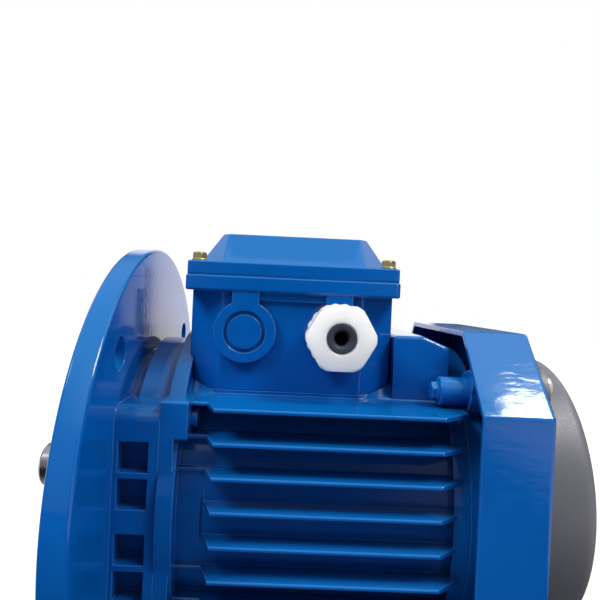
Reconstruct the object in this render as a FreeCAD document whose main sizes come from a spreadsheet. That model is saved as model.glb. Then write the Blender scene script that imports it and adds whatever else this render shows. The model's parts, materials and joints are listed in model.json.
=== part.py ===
"""Flange-mounted three-phase motor for a geared feeder drive, as separate pieces in one assembly.

Millimetres. X runs along the shaft from the mounting face of the flange towards the fan, Z is up,
and the cable entry faces -Y. The origin is the centre of the mounting face.
"""
import FreeCAD, Part
import math
import os
import re
import Sketcher

SIZES = {
    # Mounting flange and hub of the drive-end shield
    "flange_radius": 100,
    "flange_thickness": 9,
    "flange_rim_round": 1.2,
    "spigot_radius": 65,
    "spigot_height": 3.5,
    "bolt_edge": 17.5,
    "bolt_hole_radius": 6,
    "shield_depth": 25,
    "hub_step": 2.5,
    "neck_step": 4.5,
    "neck_gap": 3.7,
    "shield_wall": 11,
    "register_depth": 3,
    "register_wall": 5,
    "bearing_hub_radius": 31,
    "seat_lead": 1,
    "hub_lip": 0.5,
    # Lugs of the shield on both sides, with their pockets
    "lug_rise": 2,
    "lug_half_height": 40.5,
    "lug_round": 5.5,
    "lug_strip": 3.6,
    "lug_root": 1.8,
    "pocket_top": 28.2,
    "pocket_height": 10.9,
    "pocket_depth": 9,
    "pocket_rib": 2.1,
    # Finned frame
    "barrel_radius": 58,
    "barrel_wall": 4,
    "frame_length": 111,
    "front_ring_step": 4.5,
    "front_ring_width": 6,
    "rear_ring_step": 4,
    "rear_ring_width": 6,
    "post_length": 9.6,
    "post_height": 42.8,
    "post_foot": 29.1,
    "post_depth": 22,
    "side_strip": 5,
    "fin_height": 10,
    "low_fin_drop": 1,
    "fin_pitch": 11.8,
    "fin_tip": 1.5,
    "fin_root": 4,
    "fin_bevel": 0.4,
    "fin_inset": 15.6,
    "fin_ramp": 3.8,
    "fin_gap": 1.5,
    "fin_corner_length": 12,
    "fin_corner_depth": 9.4,
    "belly_height": 8,
    "saddle_gap": 0.4,
    "saddle_end_gap": 4.1,
    "saddle_slope": 10,
    "saddle_half_width": 39,
    "saddle_rise": 10,
    "saddle_fall": 4,
    "saddle_round": 1.5,
    "post_round": 1,
    "seat_rise": 3,
    "seat_end_margin": 7,
    "seat_side_margin": 16,
    "plinth_drop": 14,
    # Joints between the frame and its two shields
    "fit": 0.02,
    "tie_offset": 10.2,
    "tie_boss_radius": 5.65,
    "tie_boss_round": 1,
    "tie_boss_length": 10.6,
    "tie_web_radius": 6.5,
    "tie_bolt_radius": 2.5,
    "tie_head_flats": 6.4,
    "tie_head_height": 2.2,
    "tie_washer_radius": 4,
    "tie_washer_thickness": 0.5,
    "thread_length": 7,
    "thread_play": 0.1,
    "lug_bolt_radius": 2.5,
    "lug_bolt_inset": 8.5,
    "lug_bolt_thread": 10,
    "lug_head_radius": 3.8,
    "lug_head_height": 2.4,
    # Fan-end shield
    "rear_plate": 6,
    "rear_web": 4,
    "fan_bearing_inset": 13,
    "ear_radius": 7.6,
    "ear_length": 8,
    "cowl_post_radius": 5,
    "cowl_post_gap": 0.6,
    "shaft_hole_gap": 0.6,
    # Fan cowl, guard and their screws
    "cowl_margin": 3,
    "cowl_corner": 27.3,
    "cowl_overlap": 0.3,
    "cowl_length": 25.3,
    "cowl_wall": 2,
    "cowl_edge_round": 2,
    "guard_radius": 58,
    "guard_wall": 2,
    "guard_depth": 24,
    "guard_rim_round": 5,
    "guard_flange": 2.5,
    "guard_flange_step": 4,
    "guard_ear_radius": 5.5,
    "slot_width": 3.2,
    "slot_inner": 17,
    "slot_middle": 34,
    "slot_rim": 4,
    "slot_web": 3.5,
    "cowl_screw_radius": 2,
    "cowl_head_radius": 3.8,
    "cowl_head_height": 3,
    "cowl_screw_grip": 9,
    "screw_tip_gap": 1,
    # Ball bearings
    "bearing_bore_radius": 10,
    "bearing_outer_radius": 23.5,
    "bearing_width": 14,
    "bearing_setback": 6,
    "ball_radius": 3.97,
    "ball_play": 0.16,
    "race_wall": 4.3,
    "cage_thickness": 1.2,
    "cage_rim": 1,
    "spring_thickness": 1.5,
    "spring_width": 5,
    # Shaft, key and rotor
    "shaft_end_radius": 9.5,
    "shaft_end_length": 40,
    "shaft_chamfer": 1,
    "shoulder_radius": 12,
    "rotor_seat_radius": 13,
    "rotor_seat_margin": 7,
    "fan_seat_radius": 8,
    "shaft_tail": 3,
    "centre_hole_radius": 2.5,
    "centre_hole_depth": 16,
    "key_width": 6,
    "key_height": 6,
    "key_end_gap": 5,
    "key_setback": 3,
    "keyway_depth": 3.5,
    "key_play": 0.03,
    "seal_radius": 16,
    "seal_width": 7,
    "seal_recess": 0.5,
    "seal_play": 0.06,
    "seal_wall": 1.6,
    "rotor_radius": 31,
    "air_gap": 0.5,
    "stator_inset": 22,
    "stator_tail": 29,
    "end_ring_width": 6,
    "end_ring_inner": 18,
    "end_ring_step": 2,
    "vane_length": 6,
    "vane_ledge": 1.5,
    "vane_thickness": 2.5,
    # Stator slots and windings
    "stator_slot_width": 4,
    "stator_slot_depth": 14,
    "winding_play": 0.2,
    "winding_lift": 1.5,
    "overhang_length": 14,
    "overhang_height": 15,
    "overhang_width": 11,
    # Cooling fan
    "fan_gap": 10,
    "fan_hub_radius": 14,
    "fan_hub_length": 22,
    "fan_disc_radius": 46,
    "fan_disc_thickness": 2,
    "fan_blade_gap": 4,
    "fan_blade_length": 24,
    "fan_blade_thickness": 2,
    "circlip_thickness": 1.2,
    "circlip_rise": 2.5,
    "circlip_depth": 0.5,
    # Terminal box and lid
    "box_inset": 44.5,
    "box_half_length": 40.3,
    "box_half_width": 40,
    "box_corner": 12.9,
    "box_corner_side": 7,
    "box_wall": 3.5,
    "box_height": 27.5,
    "box_floor": 4,
    "box_barrel_gap": 0.3,
    "seat_gap": 0.5,
    "well_half_width": 9.4,
    "well_depth": 8,
    "well_drop": 11,
    "rim_height": 6.1,
    "rim_side": 1.4,
    "rim_front": 3,
    "rim_round": 2,
    "rim_edge": 0.9,
    "wall_round": 2,
    "entry_offset": 18.2,
    "entry_drop": 21.5,
    "entry_pad_radius": 12,
    "entry_pad_height": 2.5,
    "stem_half_width": 5.2,
    "ledge_height": 3,
    "ledge_depth": 1.2,
    "knockout_radius": 8.2,
    "knockout_groove": 1.6,
    "knockout_depth": 1,
    "gasket_thickness": 0.4,
    "gasket_inset": 0.8,
    "lid_inset": 0.5,
    "lid_plate": 5,
    "lid_round": 1.2,
    "lid_edge": 0.8,
    "dome_round": 1.4,
    "dome_height": 12.2,
    "dome_end_ledge": 2.9,
    "dome_side_ledge": 5.3,
    "dome_base_corner": 10.2,
    "dome_end_slope": 8.7,
    "dome_side_slope": 9,
    "dome_top_corner": 2.6,
    "dome_wall": 2.5,
    "lid_screw_inset": 4.6,
    "lid_screw_radius": 1.5,
    "lid_screw_grip": 5,
    "lid_head_flats": 5,
    "lid_head_height": 2.6,
    "lid_washer_radius": 3,
    "lid_washer_thickness": 0.8,
    "wire_hole_margin": 4.5,
    "wire_hole_half": 7,
    "box_screw_end": 9,
    "box_screw_side": 5,
    "box_screw_grip": 8,
    "box_head_radius": 3.5,
    "box_head_height": 2.6,
    # Terminal board
    "board_margin": 2.5,
    "board_half_length": 25,
    "board_gap": 1.5,
    "board_height": 10,
    "stud_spacing": 14,
    "stud_edge": 6,
    "stud_radius": 2,
    "stud_length": 13,
    "stud_seat": 4,
    "nut_flats": 7,
    "nut_height": 3.2,
    "link_width": 6,
    "link_thickness": 1,
    "board_screw_reach": 21.5,
    "earth_end": 28,
    "earth_side": 14,
    # Cable gland
    "gland_hole_radius": 8,
    "gland_collar_radius": 12.6,
    "gland_collar_length": 5,
    "gland_scallop_radius": 2.2,
    "gland_tube_length": 11,
    "gland_neck_radius": 8.6,
    "gland_neck_length": 6,
    "gland_bore_radius": 6,
    "gland_nut_flats": 22.6,
    "gland_nut_length": 8.5,
    "gland_nut_gap": 0.3,
    "gland_dome_length": 3.2,
    "gland_dome_radius": 8.6,
    "gland_play": 0.1,
    "gland_seal_radius": 5.4,
    "gland_cable_radius": 2.5,
    "gland_seal_length": 11,
    "locknut_flats": 18,
    "locknut_thickness": 4,
}

FIN_COUNT = 8
BELLY_FIN_COUNT = 6
STATOR_SLOTS = 24
BALL_COUNT = 8
FAN_BLADES = 8
ROTOR_VANES = 8
GLAND_SCALLOPS = 12
INNER_SLOTS = 16
OUTER_SLOTS = 28

# Planes and centres that several pieces share, as formulas in the sizes above
# How far a cut or a joined piece runs past the face that it meets
OVERRUN = "1"
BOLT_CIRCLE = "(flange_radius - bolt_edge)"
BORE = "(barrel_radius - barrel_wall)"
HUB = "(barrel_radius + hub_step)"
REAR_RING = "(barrel_radius + rear_ring_step)"
FRONT_RING = f"({HUB} + front_ring_step)"
FRONT_RING_END = "(shield_depth + front_ring_width)"
FIN_REACH = "(barrel_radius + fin_height)"
LOW_FIN_REACH = "(barrel_radius - low_fin_drop)"
BELLY_REACH = "(barrel_radius + belly_height)"
SADDLE_TOP = "(barrel_radius + saddle_rise)"
FRAME_END = "(shield_depth + frame_length)"
FIN_START = "(shield_depth + fin_inset)"
FIN_END = f"({FRAME_END} - fin_gap)"
LUG_FACE = f"({HUB} + lug_rise)"
REAR_FACE = f"({FRAME_END} + rear_plate)"
FAN_BEARING = f"({FRAME_END} - fan_bearing_inset)"
SPRING_SEAT = f"({FAN_BEARING} + bearing_width + spring_thickness)"
TIE_RADIUS = "(barrel_radius + tie_offset)"
COWL_HALF = f"({FIN_REACH} + cowl_margin)"
COWL_START = f"({FRAME_END} - cowl_overlap)"
COWL_END = f"({COWL_START} + cowl_length)"
COWL_SCREW = (f"((2 * {COWL_HALF} - cowl_corner) * cos(45)"
              " - cowl_wall - cowl_post_radius - cowl_post_gap)")
GUARD_END = f"({COWL_END} + guard_depth)"
STATOR_START = "(shield_depth + stator_inset)"
STATOR_END = f"({FRAME_END} - stator_tail)"
STATOR_BORE = "(rotor_radius + air_gap)"
FAN_START = f"({FRAME_END} + fan_gap)"
FAN_END = f"({FAN_START} + fan_hub_length)"
BALL_CIRCLE = "((bearing_bore_radius + bearing_outer_radius) / 2)"
BOX_X = "(shield_depth + box_inset)"
BOX_FOOT = "(barrel_radius - plinth_drop)"
SEAT = "(barrel_radius + seat_rise)"
FLOOR_TOP = f"({SEAT} + box_floor)"
BOX_TOP = f"({SEAT} + box_height)"
RIM_BOTTOM = f"({BOX_TOP} - rim_height)"
LID_BOTTOM = f"({BOX_TOP} + gasket_thickness)"
LID_TOP = f"({LID_BOTTOM} + lid_plate)"
DOME_TOP = f"({LID_TOP} + dome_height)"
CORNER_SLANT = "sqrt(box_corner ^ 2 + box_corner_side ^ 2)"
ROOM_CORNER = (f"(box_corner - box_wall + box_wall * ({CORNER_SLANT} - box_corner) / box_corner_side)",
               f"(box_corner_side - box_wall + box_wall * ({CORNER_SLANT} - box_corner_side) / box_corner)")
RIM_LENGTH = "(box_half_length + rim_side)"
RIM_WIDTH = "(box_half_width + rim_front)"
ENTRY_Z = f"({BOX_TOP} - entry_drop)"
PAD_FACE = "(box_half_width + entry_pad_height)"
SEAT_LENGTH = "(box_half_length - seat_end_margin)"
SEAT_WIDTH = "(box_half_width - seat_side_margin)"
BOX_SCREW_LENGTH = f"({SEAT_LENGTH} - box_screw_end)"
BOX_SCREW_WIDTH = f"({SEAT_WIDTH} - box_screw_side)"
WIRE_HOLE = "(box_half_length - box_wall - wire_hole_margin - wire_hole_half)"
EARTH_LENGTH = "(box_half_length - earth_end)"
EARTH_WIDTH = "(box_half_width - earth_side)"
BOARD_X = f"({BOX_X} - box_half_length + box_wall + board_margin + board_half_length)"
BOARD_WIDTH = f"({BOX_SCREW_WIDTH} - box_head_radius - board_gap)"
STUD_ROW = f"({BOARD_WIDTH} - stud_edge)"
DOME_BASE = (f"({RIM_LENGTH} - lid_inset - dome_end_ledge)", f"({RIM_WIDTH} - lid_inset - dome_side_ledge)")
DOME_CROWN = (f"({DOME_BASE[0]} - dome_end_slope)", f"({DOME_BASE[1]} - dome_side_slope)")
END_RING = "(rotor_radius - end_ring_step)"
GUARD_INSIDE = "(guard_radius - guard_wall)"
GUARD_FLANGE = "(guard_radius + guard_flange_step)"
FAN_RADIUS = f"({GUARD_INSIDE} - fan_blade_gap)"
BOARD_TOP = f"({FLOOR_TOP} + board_height)"

doc = FreeCAD.newDocument("motor")
sheet = doc.addObject("Spreadsheet::Sheet", "Sizes")
for row, (alias, size) in enumerate(SIZES.items(), start=1):
    sheet.set(f"A{row}", str(size))
    sheet.setAlias(f"A{row}", alias)
doc.recompute()

pieces = []


def bound(formula):
    """Formula in size names, rewritten to read the sheet."""
    return re.sub(r"[a-z]\w*", lambda word: f"Sizes.{word[0]}" if word[0] in SIZES else word[0], formula)


def number(formula):
    """Present value of a formula in size names."""
    return float(sheet.evalExpression(bound(formula)))


def bind(target, **formulas):
    """Tie properties of an object to formulas; a double underscore stands for a dot."""
    for name, formula in formulas.items():
        target.setExpression(name.replace("__", "."), bound(formula))


def origin_feature(body, role):
    """Origin plane or axis of a body, by its role."""
    return next(item for item in body.Origin.OriginFeatures if item.Role == role)


def new_body(label):
    """Empty body that becomes one sub-part."""
    body = doc.addObject("PartDesign::Body", label)
    pieces.append(body)
    return body


def new_sketch(body, name, role, offset="0"):
    """Sketch on an origin plane of its body, moved along the plane's normal."""
    sketch = body.newObject("Sketcher::SketchObject", name)
    sketch.AttachmentSupport = [(origin_feature(body, role), "")]
    sketch.MapMode = "FlatFace"
    bind(sketch, AttachmentOffset__Base__z=offset)
    return sketch


def pin_point(sketch, geometry, end, x, y):
    """Hold a point of a sketch at two formulas measured from the sketch's origin."""
    for kind, axis, formula in (("DistanceX", -2, x), ("DistanceY", -1, y)):
        if formula == "0":
            sketch.addConstraint(Sketcher.Constraint("PointOnObject", geometry, end, axis))
            continue
        distance = Sketcher.Constraint(kind, -1, 1, geometry, end, number(formula))
        index = sketch.addConstraint(distance)
        sketch.setExpression(f"Constraints[{index}]", bound(formula))


def draw_outline(sketch, corners):
    """Closed outline of straight lines through corners given as pairs of formulas."""
    points = [FreeCAD.Vector(number(x), number(y), 0) for x, y in corners]
    lines = [sketch.addGeometry(Part.LineSegment(start, end), False)
             for start, end in zip(points, points[1:] + points[:1])]
    for line, following in zip(lines, lines[1:] + lines[:1]):
        sketch.addConstraint(Sketcher.Constraint("Coincident", line, 2, following, 1))
    for line, (x, y) in zip(lines, corners):
        pin_point(sketch, line, 1, x, y)


def draw_circle(sketch, x, y, radius):
    """Circle with its centre and radius held by formulas."""
    centre = FreeCAD.Vector(number(x), number(y), 0)
    circle = sketch.addGeometry(Part.Circle(centre, FreeCAD.Vector(0, 0, 1), number(radius)), False)
    pin_point(sketch, circle, 3, x, y)
    index = sketch.addConstraint(Sketcher.Constraint("Radius", circle, number(radius)))
    sketch.setExpression(f"Constraints[{index}]", bound(radius))


def rectangle(x0, y0, x1, y1):
    """Corners of an upright rectangle."""
    return [(x0, y0), (x1, y0), (x1, y1), (x0, y1)]


def octagon(half_x, half_y, corner_x, corner_y, centre_x="0", centre_y="0"):
    """Corners of a rectangle with its four corners cut off, by one leg along x and one along y."""
    signs = [(1, 1), (-1, 1), (-1, -1), (1, -1)]
    corners = []
    for index, (sx, sy) in enumerate(signs):
        side = (f"{centre_x} + ({sx}) * {half_x}", f"{centre_y} + ({sy}) * ({half_y} - {corner_y})")
        end = (f"{centre_x} + ({sx}) * ({half_x} - {corner_x})", f"{centre_y} + ({sy}) * {half_y}")
        corners += [side, end] if index % 2 == 0 else [end, side]
    return corners


def extrude(body, name, sketch, length, cut=False, reverse=False):
    """Pad or pocket of a sketch by a length."""
    feature = body.newObject("PartDesign::Pocket" if cut else "PartDesign::Pad", name)
    feature.Profile = sketch
    feature.Reversed = reverse
    bind(feature, Length=length)
    body.Tip = feature
    return feature


def turn(body, name, outlines, cut=False):
    """Revolve outlines of X and radius about the X axis, as material or as a cut."""
    sketch = new_sketch(body, f"{name}_profile", "XZ_Plane")
    for corners in outlines:
        draw_outline(sketch, corners)
    return revolve(body, name, sketch, cut)


def revolve(body, name, sketch, cut=False):
    """Full turn of a sketch about its horizontal axis."""
    feature = body.newObject("PartDesign::Groove" if cut else "PartDesign::Revolution", name)
    feature.Profile = sketch
    feature.ReferenceAxis = (sketch, ["H_Axis"])
    feature.Angle = 360
    body.Tip = feature
    return feature


def polar(body, name, originals, count):
    """Repeat features evenly about the X axis."""
    pattern = body.newObject("PartDesign::PolarPattern", name)
    pattern.Originals = originals
    pattern.Axis = (origin_feature(body, "X_Axis"), [""])
    pattern.Angle = 360
    pattern.Occurrences = count
    body.Tip = pattern
    return pattern


def row_pattern(body, name, originals, role, length, count):
    """Repeat features along an origin axis over a whole length."""
    pattern = body.newObject("PartDesign::LinearPattern", name)
    pattern.Originals = originals
    pattern.Direction = (origin_feature(body, role), [""])
    bind(pattern, Length=length)
    pattern.Occurrences = count
    body.Tip = pattern
    return pattern


def mirrored(body, name, originals, role):
    """Mirror features across an origin plane."""
    mirror = body.newObject("PartDesign::Mirrored", name)
    mirror.Originals = originals
    mirror.MirrorPlane = (origin_feature(body, role), [""])
    body.Tip = mirror
    return mirror


def round_edges(body, name, base, radius, wanted):
    """Round the edges of a feature that a test picks out."""
    doc.recompute()
    names = [f"Edge{index}" for index, edge in enumerate(base.Shape.Edges, start=1) if wanted(edge)]
    fillet = body.newObject("PartDesign::Fillet", name)
    fillet.Base = (base, names)
    bind(fillet, Radius=radius)
    body.Tip = fillet
    return fillet


def is_circle(edge, radius, x):
    """Whether an edge is a circle about the shaft axis at a station along X."""
    curve = edge.Curve
    return (isinstance(curve, Part.Circle) and abs(curve.Radius - number(radius)) < 1e-4
            and abs(curve.Center.x - number(x)) < 1e-4 and abs(curve.Center.y) + abs(curve.Center.z) < 1e-4)


def runs_along(edge, axis):
    """Whether an edge is a straight line along an axis given as a vector."""
    if not isinstance(edge.Curve, Part.Line):
        return False
    return abs(abs(edge.Curve.Direction.dot(axis)) - 1) < 1e-6


X_WAY = FreeCAD.Vector(1, 0, 0)
Y_WAY = FreeCAD.Vector(0, 1, 0)
Z_WAY = FreeCAD.Vector(0, 0, 1)


def place(target, x, y, z, from_way, to_way):
    """Turn an object from its own axis to a direction and hold its origin at three formulas."""
    target.Placement = FreeCAD.Placement(FreeCAD.Vector(), FreeCAD.Rotation(from_way, to_way))
    bind(target, Placement__Base__x=x, Placement__Base__y=y, Placement__Base__z=z)


def rod(name, radius, length, x, y, z, way):
    """Plain cylinder from a point along a direction."""
    cylinder = doc.addObject("Part::Cylinder", name)
    bind(cylinder, Radius=radius, Height=length)
    place(cylinder, x, y, z, Z_WAY, way)
    return cylinder


def hexagon(name, flats, height, x, y, z, way):
    """Hexagonal prism, sized across its flats, from a point along a direction."""
    prism = doc.addObject("Part::Prism", name)
    prism.Polygon = 6
    bind(prism, Circumradius=f"{flats} / 2 / cos(30)", Height=height)
    place(prism, x, y, z, Z_WAY, way)
    return prism


def block(name, x0, y0, z0, length, width, height):
    """Box from its lowest corner."""
    box = doc.addObject("Part::Box", name)
    bind(box, Length=length, Width=width, Height=height)
    bind(box, Placement__Base__x=x0, Placement__Base__y=y0, Placement__Base__z=z0)
    return box


def fuse(name, shapes):
    """One solid of several that overlap."""
    union = doc.addObject("Part::MultiFuse", name)
    union.Shapes = shapes
    return union


def subtract(name, base, tool):
    """A shape with another taken away."""
    difference = doc.addObject("Part::Cut", name)
    difference.Base = base
    difference.Tool = tool
    return difference


def group(label, solids):
    """Several separate solids as one sub-part."""
    compound = doc.addObject("Part::Compound", label)
    compound.Links = solids
    pieces.append(compound)
    return compound


def corner_signs():
    """The four corners of a rectangle as pairs of signs."""
    return [(sx, sy) for sx in (-1, 1) for sy in (-1, 1)]


def drive_end_shield():
    """End shield with the mounting flange, hub, bearing seat and pocketed lugs."""
    body = new_body("drive_end_shield")
    lug = new_sketch(body, "lug_outline", "YZ_Plane", "flange_thickness / 2")
    draw_outline(lug, rectangle(f"-{LUG_FACE}", "-lug_half_height", LUG_FACE, "lug_half_height"))
    lugs = extrude(body, "lugs", lug, "shield_depth - flange_thickness / 2")
    lugs = round_edges(body, "lug_rounds", lugs, "lug_round", lambda edge: runs_along(edge, X_WAY))
    neck = f"({HUB} - neck_step)"
    neck_end = "(flange_thickness + neck_gap)"
    register = f"({BORE} - fit)"
    register_end = "(shield_depth + register_depth)"
    turn(body, "flange_and_hub", [[
        ("-spigot_height", "0"), ("-spigot_height", "spigot_radius"), ("0", "spigot_radius"),
        ("0", "flange_radius"), ("flange_thickness", "flange_radius"), ("flange_thickness", neck),
        (neck_end, neck), (neck_end, HUB), ("shield_depth", HUB),
        ("shield_depth", register), (register_end, register), (register_end, "0")]])
    hollows = new_sketch(body, "lug_pocket_outline", "XZ_Plane", LUG_FACE)
    first = "(flange_thickness + lug_root)"
    last = "(shield_depth - lug_strip)"
    lower_top = "(pocket_top - pocket_height - pocket_rib)"
    for sign in ("", "-"):
        for top in ("pocket_top", lower_top):
            draw_outline(hollows, rectangle(first, f"{sign}({top} - pocket_height)", last, f"{sign}{top}"))
    near = extrude(body, "lug_pockets", hollows, "pocket_depth", cut=True)
    mirrored(body, "lug_pockets_far", [near], "XZ_Plane")
    hub_end = "(bearing_setback + bearing_width + hub_lip)"
    seat = "(bearing_outer_radius + fit)"
    cavity = f"({BORE} - register_wall)"
    turn(body, "bearing_seat", [[
        ("-spigot_height", "0"), ("-spigot_height", "seal_radius + fit"),
        ("bearing_setback", "seal_radius + fit"), ("bearing_setback", seat), (hub_end, seat),
        (hub_end, "bearing_hub_radius"), ("shield_wall", "bearing_hub_radius"),
        ("shield_wall", cavity), (register_end, cavity), (register_end, "0")]], cut=True)
    hole = new_sketch(body, "flange_hole_outline", "YZ_Plane", "flange_thickness")
    draw_circle(hole, f"{BOLT_CIRCLE} * cos(45)", f"{BOLT_CIRCLE} * sin(45)", "bolt_hole_radius")
    first_hole = extrude(body, "flange_hole", hole, "flange_thickness", cut=True)
    polar(body, "flange_holes", [first_hole], 4)
    threads = new_sketch(body, "lug_thread_outline", "YZ_Plane", "shield_depth")
    for sy, sz in corner_signs():
        draw_circle(threads, f"({sy}) * ({HUB} - lug_bolt_inset)", f"({sz}) * 3 * fin_pitch",
                    "lug_bolt_radius + thread_play")
    last_cut = extrude(body, "lug_threads", threads, f"lug_bolt_thread + {OVERRUN}", cut=True)
    round_edges(body, "flange_rim", last_cut, "flange_rim_round",
                lambda edge: is_circle(edge, "flange_radius", "0")
                or is_circle(edge, "flange_radius", "flange_thickness"))


def on_boss_rim(edge):
    """Whether an edge lies on the free end of a tie boss, all round or in part."""
    if abs(edge.CenterOfMass.x - number(f"{FRAME_END} - tie_boss_length")) > 1e-4:
        return False
    middle = edge.valueAt((edge.FirstParameter + edge.LastParameter) / 2)
    centre = number(f"{TIE_RADIUS} * cos(45)")
    return abs(math.hypot(abs(middle.y) - centre, abs(middle.z) - centre) - number("tie_boss_radius")) < 1e-4


def stator_frame():
    """Finned barrel with its end rings, posts, tie bosses, saddle and box seat."""
    body = new_body("stator_frame")
    turn(body, "barrel", [[("shield_depth", "0"), ("shield_depth", "barrel_radius"),
                           (FRAME_END, "barrel_radius"), (FRAME_END, "0")]])
    lowest = f"(-{(FIN_COUNT - 1) / 2} * fin_pitch)"
    for name, start, end, reach in (("fin", FIN_START, FIN_END, FIN_REACH),
                                    ("low_fin", "shield_depth", FIN_START, LOW_FIN_REACH)):
        outline = new_sketch(body, f"{name}_outline", "YZ_Plane", start)
        shoulder = f"({reach} - fin_bevel)"
        low_tip = f"{lowest} - fin_tip / 2"
        high_tip = f"{lowest} + fin_tip / 2"
        draw_outline(outline, [
            (f"-{shoulder}", low_tip), ("0", f"{lowest} - fin_root / 2"), (shoulder, low_tip),
            (reach, f"{low_tip} + fin_bevel"), (reach, f"{high_tip} - fin_bevel"), (shoulder, high_tip),
            ("0", f"{lowest} + fin_root / 2"), (f"-{shoulder}", high_tip),
            (f"-{reach}", f"{high_tip} - fin_bevel"), (f"-{reach}", f"{low_tip} + fin_bevel")])
        first = extrude(body, name, outline, f"{end} - {start}")
        row_pattern(body, f"{name}_row", [first], "Z_Axis", f"fin_pitch * {FIN_COUNT - 1}", FIN_COUNT)
    leftmost = f"(-{(BELLY_FIN_COUNT - 1) / 2} * fin_pitch)"
    belly = new_sketch(body, "belly_fin_outline", "YZ_Plane", FIN_START)
    draw_outline(belly, [
        (f"{leftmost} - fin_root / 2", "0"), (f"{leftmost} + fin_root / 2", "0"),
        (f"{leftmost} + fin_tip / 2", f"-{BELLY_REACH}"), (f"{leftmost} - fin_tip / 2", f"-{BELLY_REACH}")])
    belly_fin = extrude(body, "belly_fin", belly, f"{FIN_END} - {FIN_START}")
    row_pattern(body, "belly_fins", [belly_fin], "Y_Axis",
                f"fin_pitch * {BELLY_FIN_COUNT - 1}", BELLY_FIN_COUNT)
    corners = new_sketch(body, "fin_corner_outline", "XY_Plane", FIN_REACH)
    for sign in ("", "-"):
        draw_outline(corners, [(f"{FIN_END} - fin_corner_length", f"{sign}({FIN_REACH} + {OVERRUN})"),
                               (f"{FIN_END} + {OVERRUN}", f"{sign}({FIN_REACH} + {OVERRUN})"),
                               (f"{FIN_END} + {OVERRUN}", f"{sign}({FIN_REACH} - fin_corner_depth)"),
                               (FIN_END, f"{sign}({FIN_REACH} - fin_corner_depth)")])
        draw_outline(corners, [(f"{FIN_START} - {OVERRUN}", f"{sign}{LOW_FIN_REACH}"),
                               (FIN_START, f"{sign}{LOW_FIN_REACH}"),
                               (f"{FIN_START} + fin_ramp", f"{sign}{FIN_REACH}"),
                               (f"{FIN_START} + fin_ramp", f"{sign}({FIN_REACH} + {OVERRUN})"),
                               (f"{FIN_START} - {OVERRUN}", f"{sign}({FIN_REACH} + {OVERRUN})")])
    extrude(body, "fin_corners", corners, f"2 * {FIN_REACH}", cut=True)
    turn(body, "end_rings", [
        rectangle("shield_depth", f"{BORE} - {OVERRUN}", FRONT_RING_END, FRONT_RING),
        rectangle(f"{FRAME_END} - rear_ring_width", f"{BORE} - {OVERRUN}", FRAME_END, REAR_RING)])
    posts = new_sketch(body, "post_outline", "YZ_Plane", "shield_depth")
    for sy, sz in corner_signs():
        draw_outline(posts, rectangle(f"({sy}) * ({LUG_FACE} - post_depth)", f"({sz}) * post_foot",
                                      f"({sy}) * {LUG_FACE}", f"({sz}) * post_height"))
    post_pad = extrude(body, "posts", posts, "post_length")
    round_edges(body, "post_rounds", post_pad, "post_round", lambda edge: runs_along(edge, X_WAY)
                and abs(abs(edge.CenterOfMass.y) - number(LUG_FACE)) < 1e-4)
    strips = new_sketch(body, "strip_outline", "YZ_Plane", "shield_depth")
    for sign in ("", "-"):
        draw_outline(strips, rectangle(f"{sign}({LUG_FACE} - post_depth)", f"-post_foot - {OVERRUN}",
                                       f"{sign}{LUG_FACE}", f"post_foot + {OVERRUN}"))
    extrude(body, "strips", strips, "side_strip")
    saddle_start = f"({BOX_X} + box_half_length + saddle_gap)"
    saddle = new_sketch(body, "saddle_outline", "XZ_Plane", "saddle_half_width")
    saddle_end = f"({FRAME_END} - saddle_end_gap)"
    draw_outline(saddle, [(saddle_start, "barrel_radius / 3"), (saddle_start, SADDLE_TOP),
                          (f"{saddle_end} - saddle_slope", SADDLE_TOP),
                          (saddle_end, f"{SADDLE_TOP} - saddle_fall"), (saddle_end, "barrel_radius / 3")])
    saddle_pad = extrude(body, "saddle", saddle, "2 * saddle_half_width", reverse=True)
    saddle_flat = f"({saddle_end} - saddle_slope - {saddle_start})"
    round_edges(body, "saddle_rounds", saddle_pad, f"min(saddle_round; {saddle_flat} / 3)",
                lambda edge: edge.CenterOfMass.z > number(f"{SADDLE_TOP} - saddle_fall - 0.01"))
    seat = new_sketch(body, "seat_outline", "XY_Plane", "barrel_radius / 2")
    draw_outline(seat, rectangle(f"{BOX_X} - {SEAT_LENGTH}", f"-{SEAT_WIDTH}",
                                 f"{BOX_X} + {SEAT_LENGTH}", SEAT_WIDTH))
    extrude(body, "seat", seat, f"{SEAT} - barrel_radius / 2")
    plinth = new_sketch(body, "plinth_outline", "XY_Plane", "barrel_radius / 3")
    draw_outline(plinth, octagon("box_half_length", "box_half_width", "box_corner", "box_corner_side",
                                 centre_x=BOX_X))
    extrude(body, "plinth", plinth, f"{BOX_FOOT} - barrel_radius / 3")
    boss = new_sketch(body, "tie_boss_outline", "YZ_Plane", f"{FRAME_END} - tie_boss_length")
    draw_circle(boss, f"{TIE_RADIUS} * cos(45)", f"{TIE_RADIUS} * sin(45)", "tie_boss_radius")
    tie_boss = extrude(body, "tie_boss", boss, "tie_boss_length")
    web = new_sketch(body, "tie_web_outline", "YZ_Plane", f"{FRAME_END} - rear_ring_width")
    web_radius = f"({TIE_RADIUS} - tie_web_radius)"
    draw_circle(web, f"{web_radius} * cos(45)", f"{web_radius} * sin(45)", "tie_web_radius")
    tie_web = extrude(body, "tie_web", web, "rear_ring_width")
    bosses = polar(body, "tie_bosses", [tie_boss, tie_web], 4)
    round_edges(body, "tie_boss_rounds", bosses, "tie_boss_round", on_boss_rim)
    turn(body, "bore", [rectangle("shield_depth", "0", FRAME_END, BORE)], cut=True)
    tie_hole = new_sketch(body, "tie_hole_outline", "YZ_Plane", FRAME_END)
    draw_circle(tie_hole, f"{TIE_RADIUS} * cos(45)", f"{TIE_RADIUS} * sin(45)",
                "tie_bolt_radius + thread_play")
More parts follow.
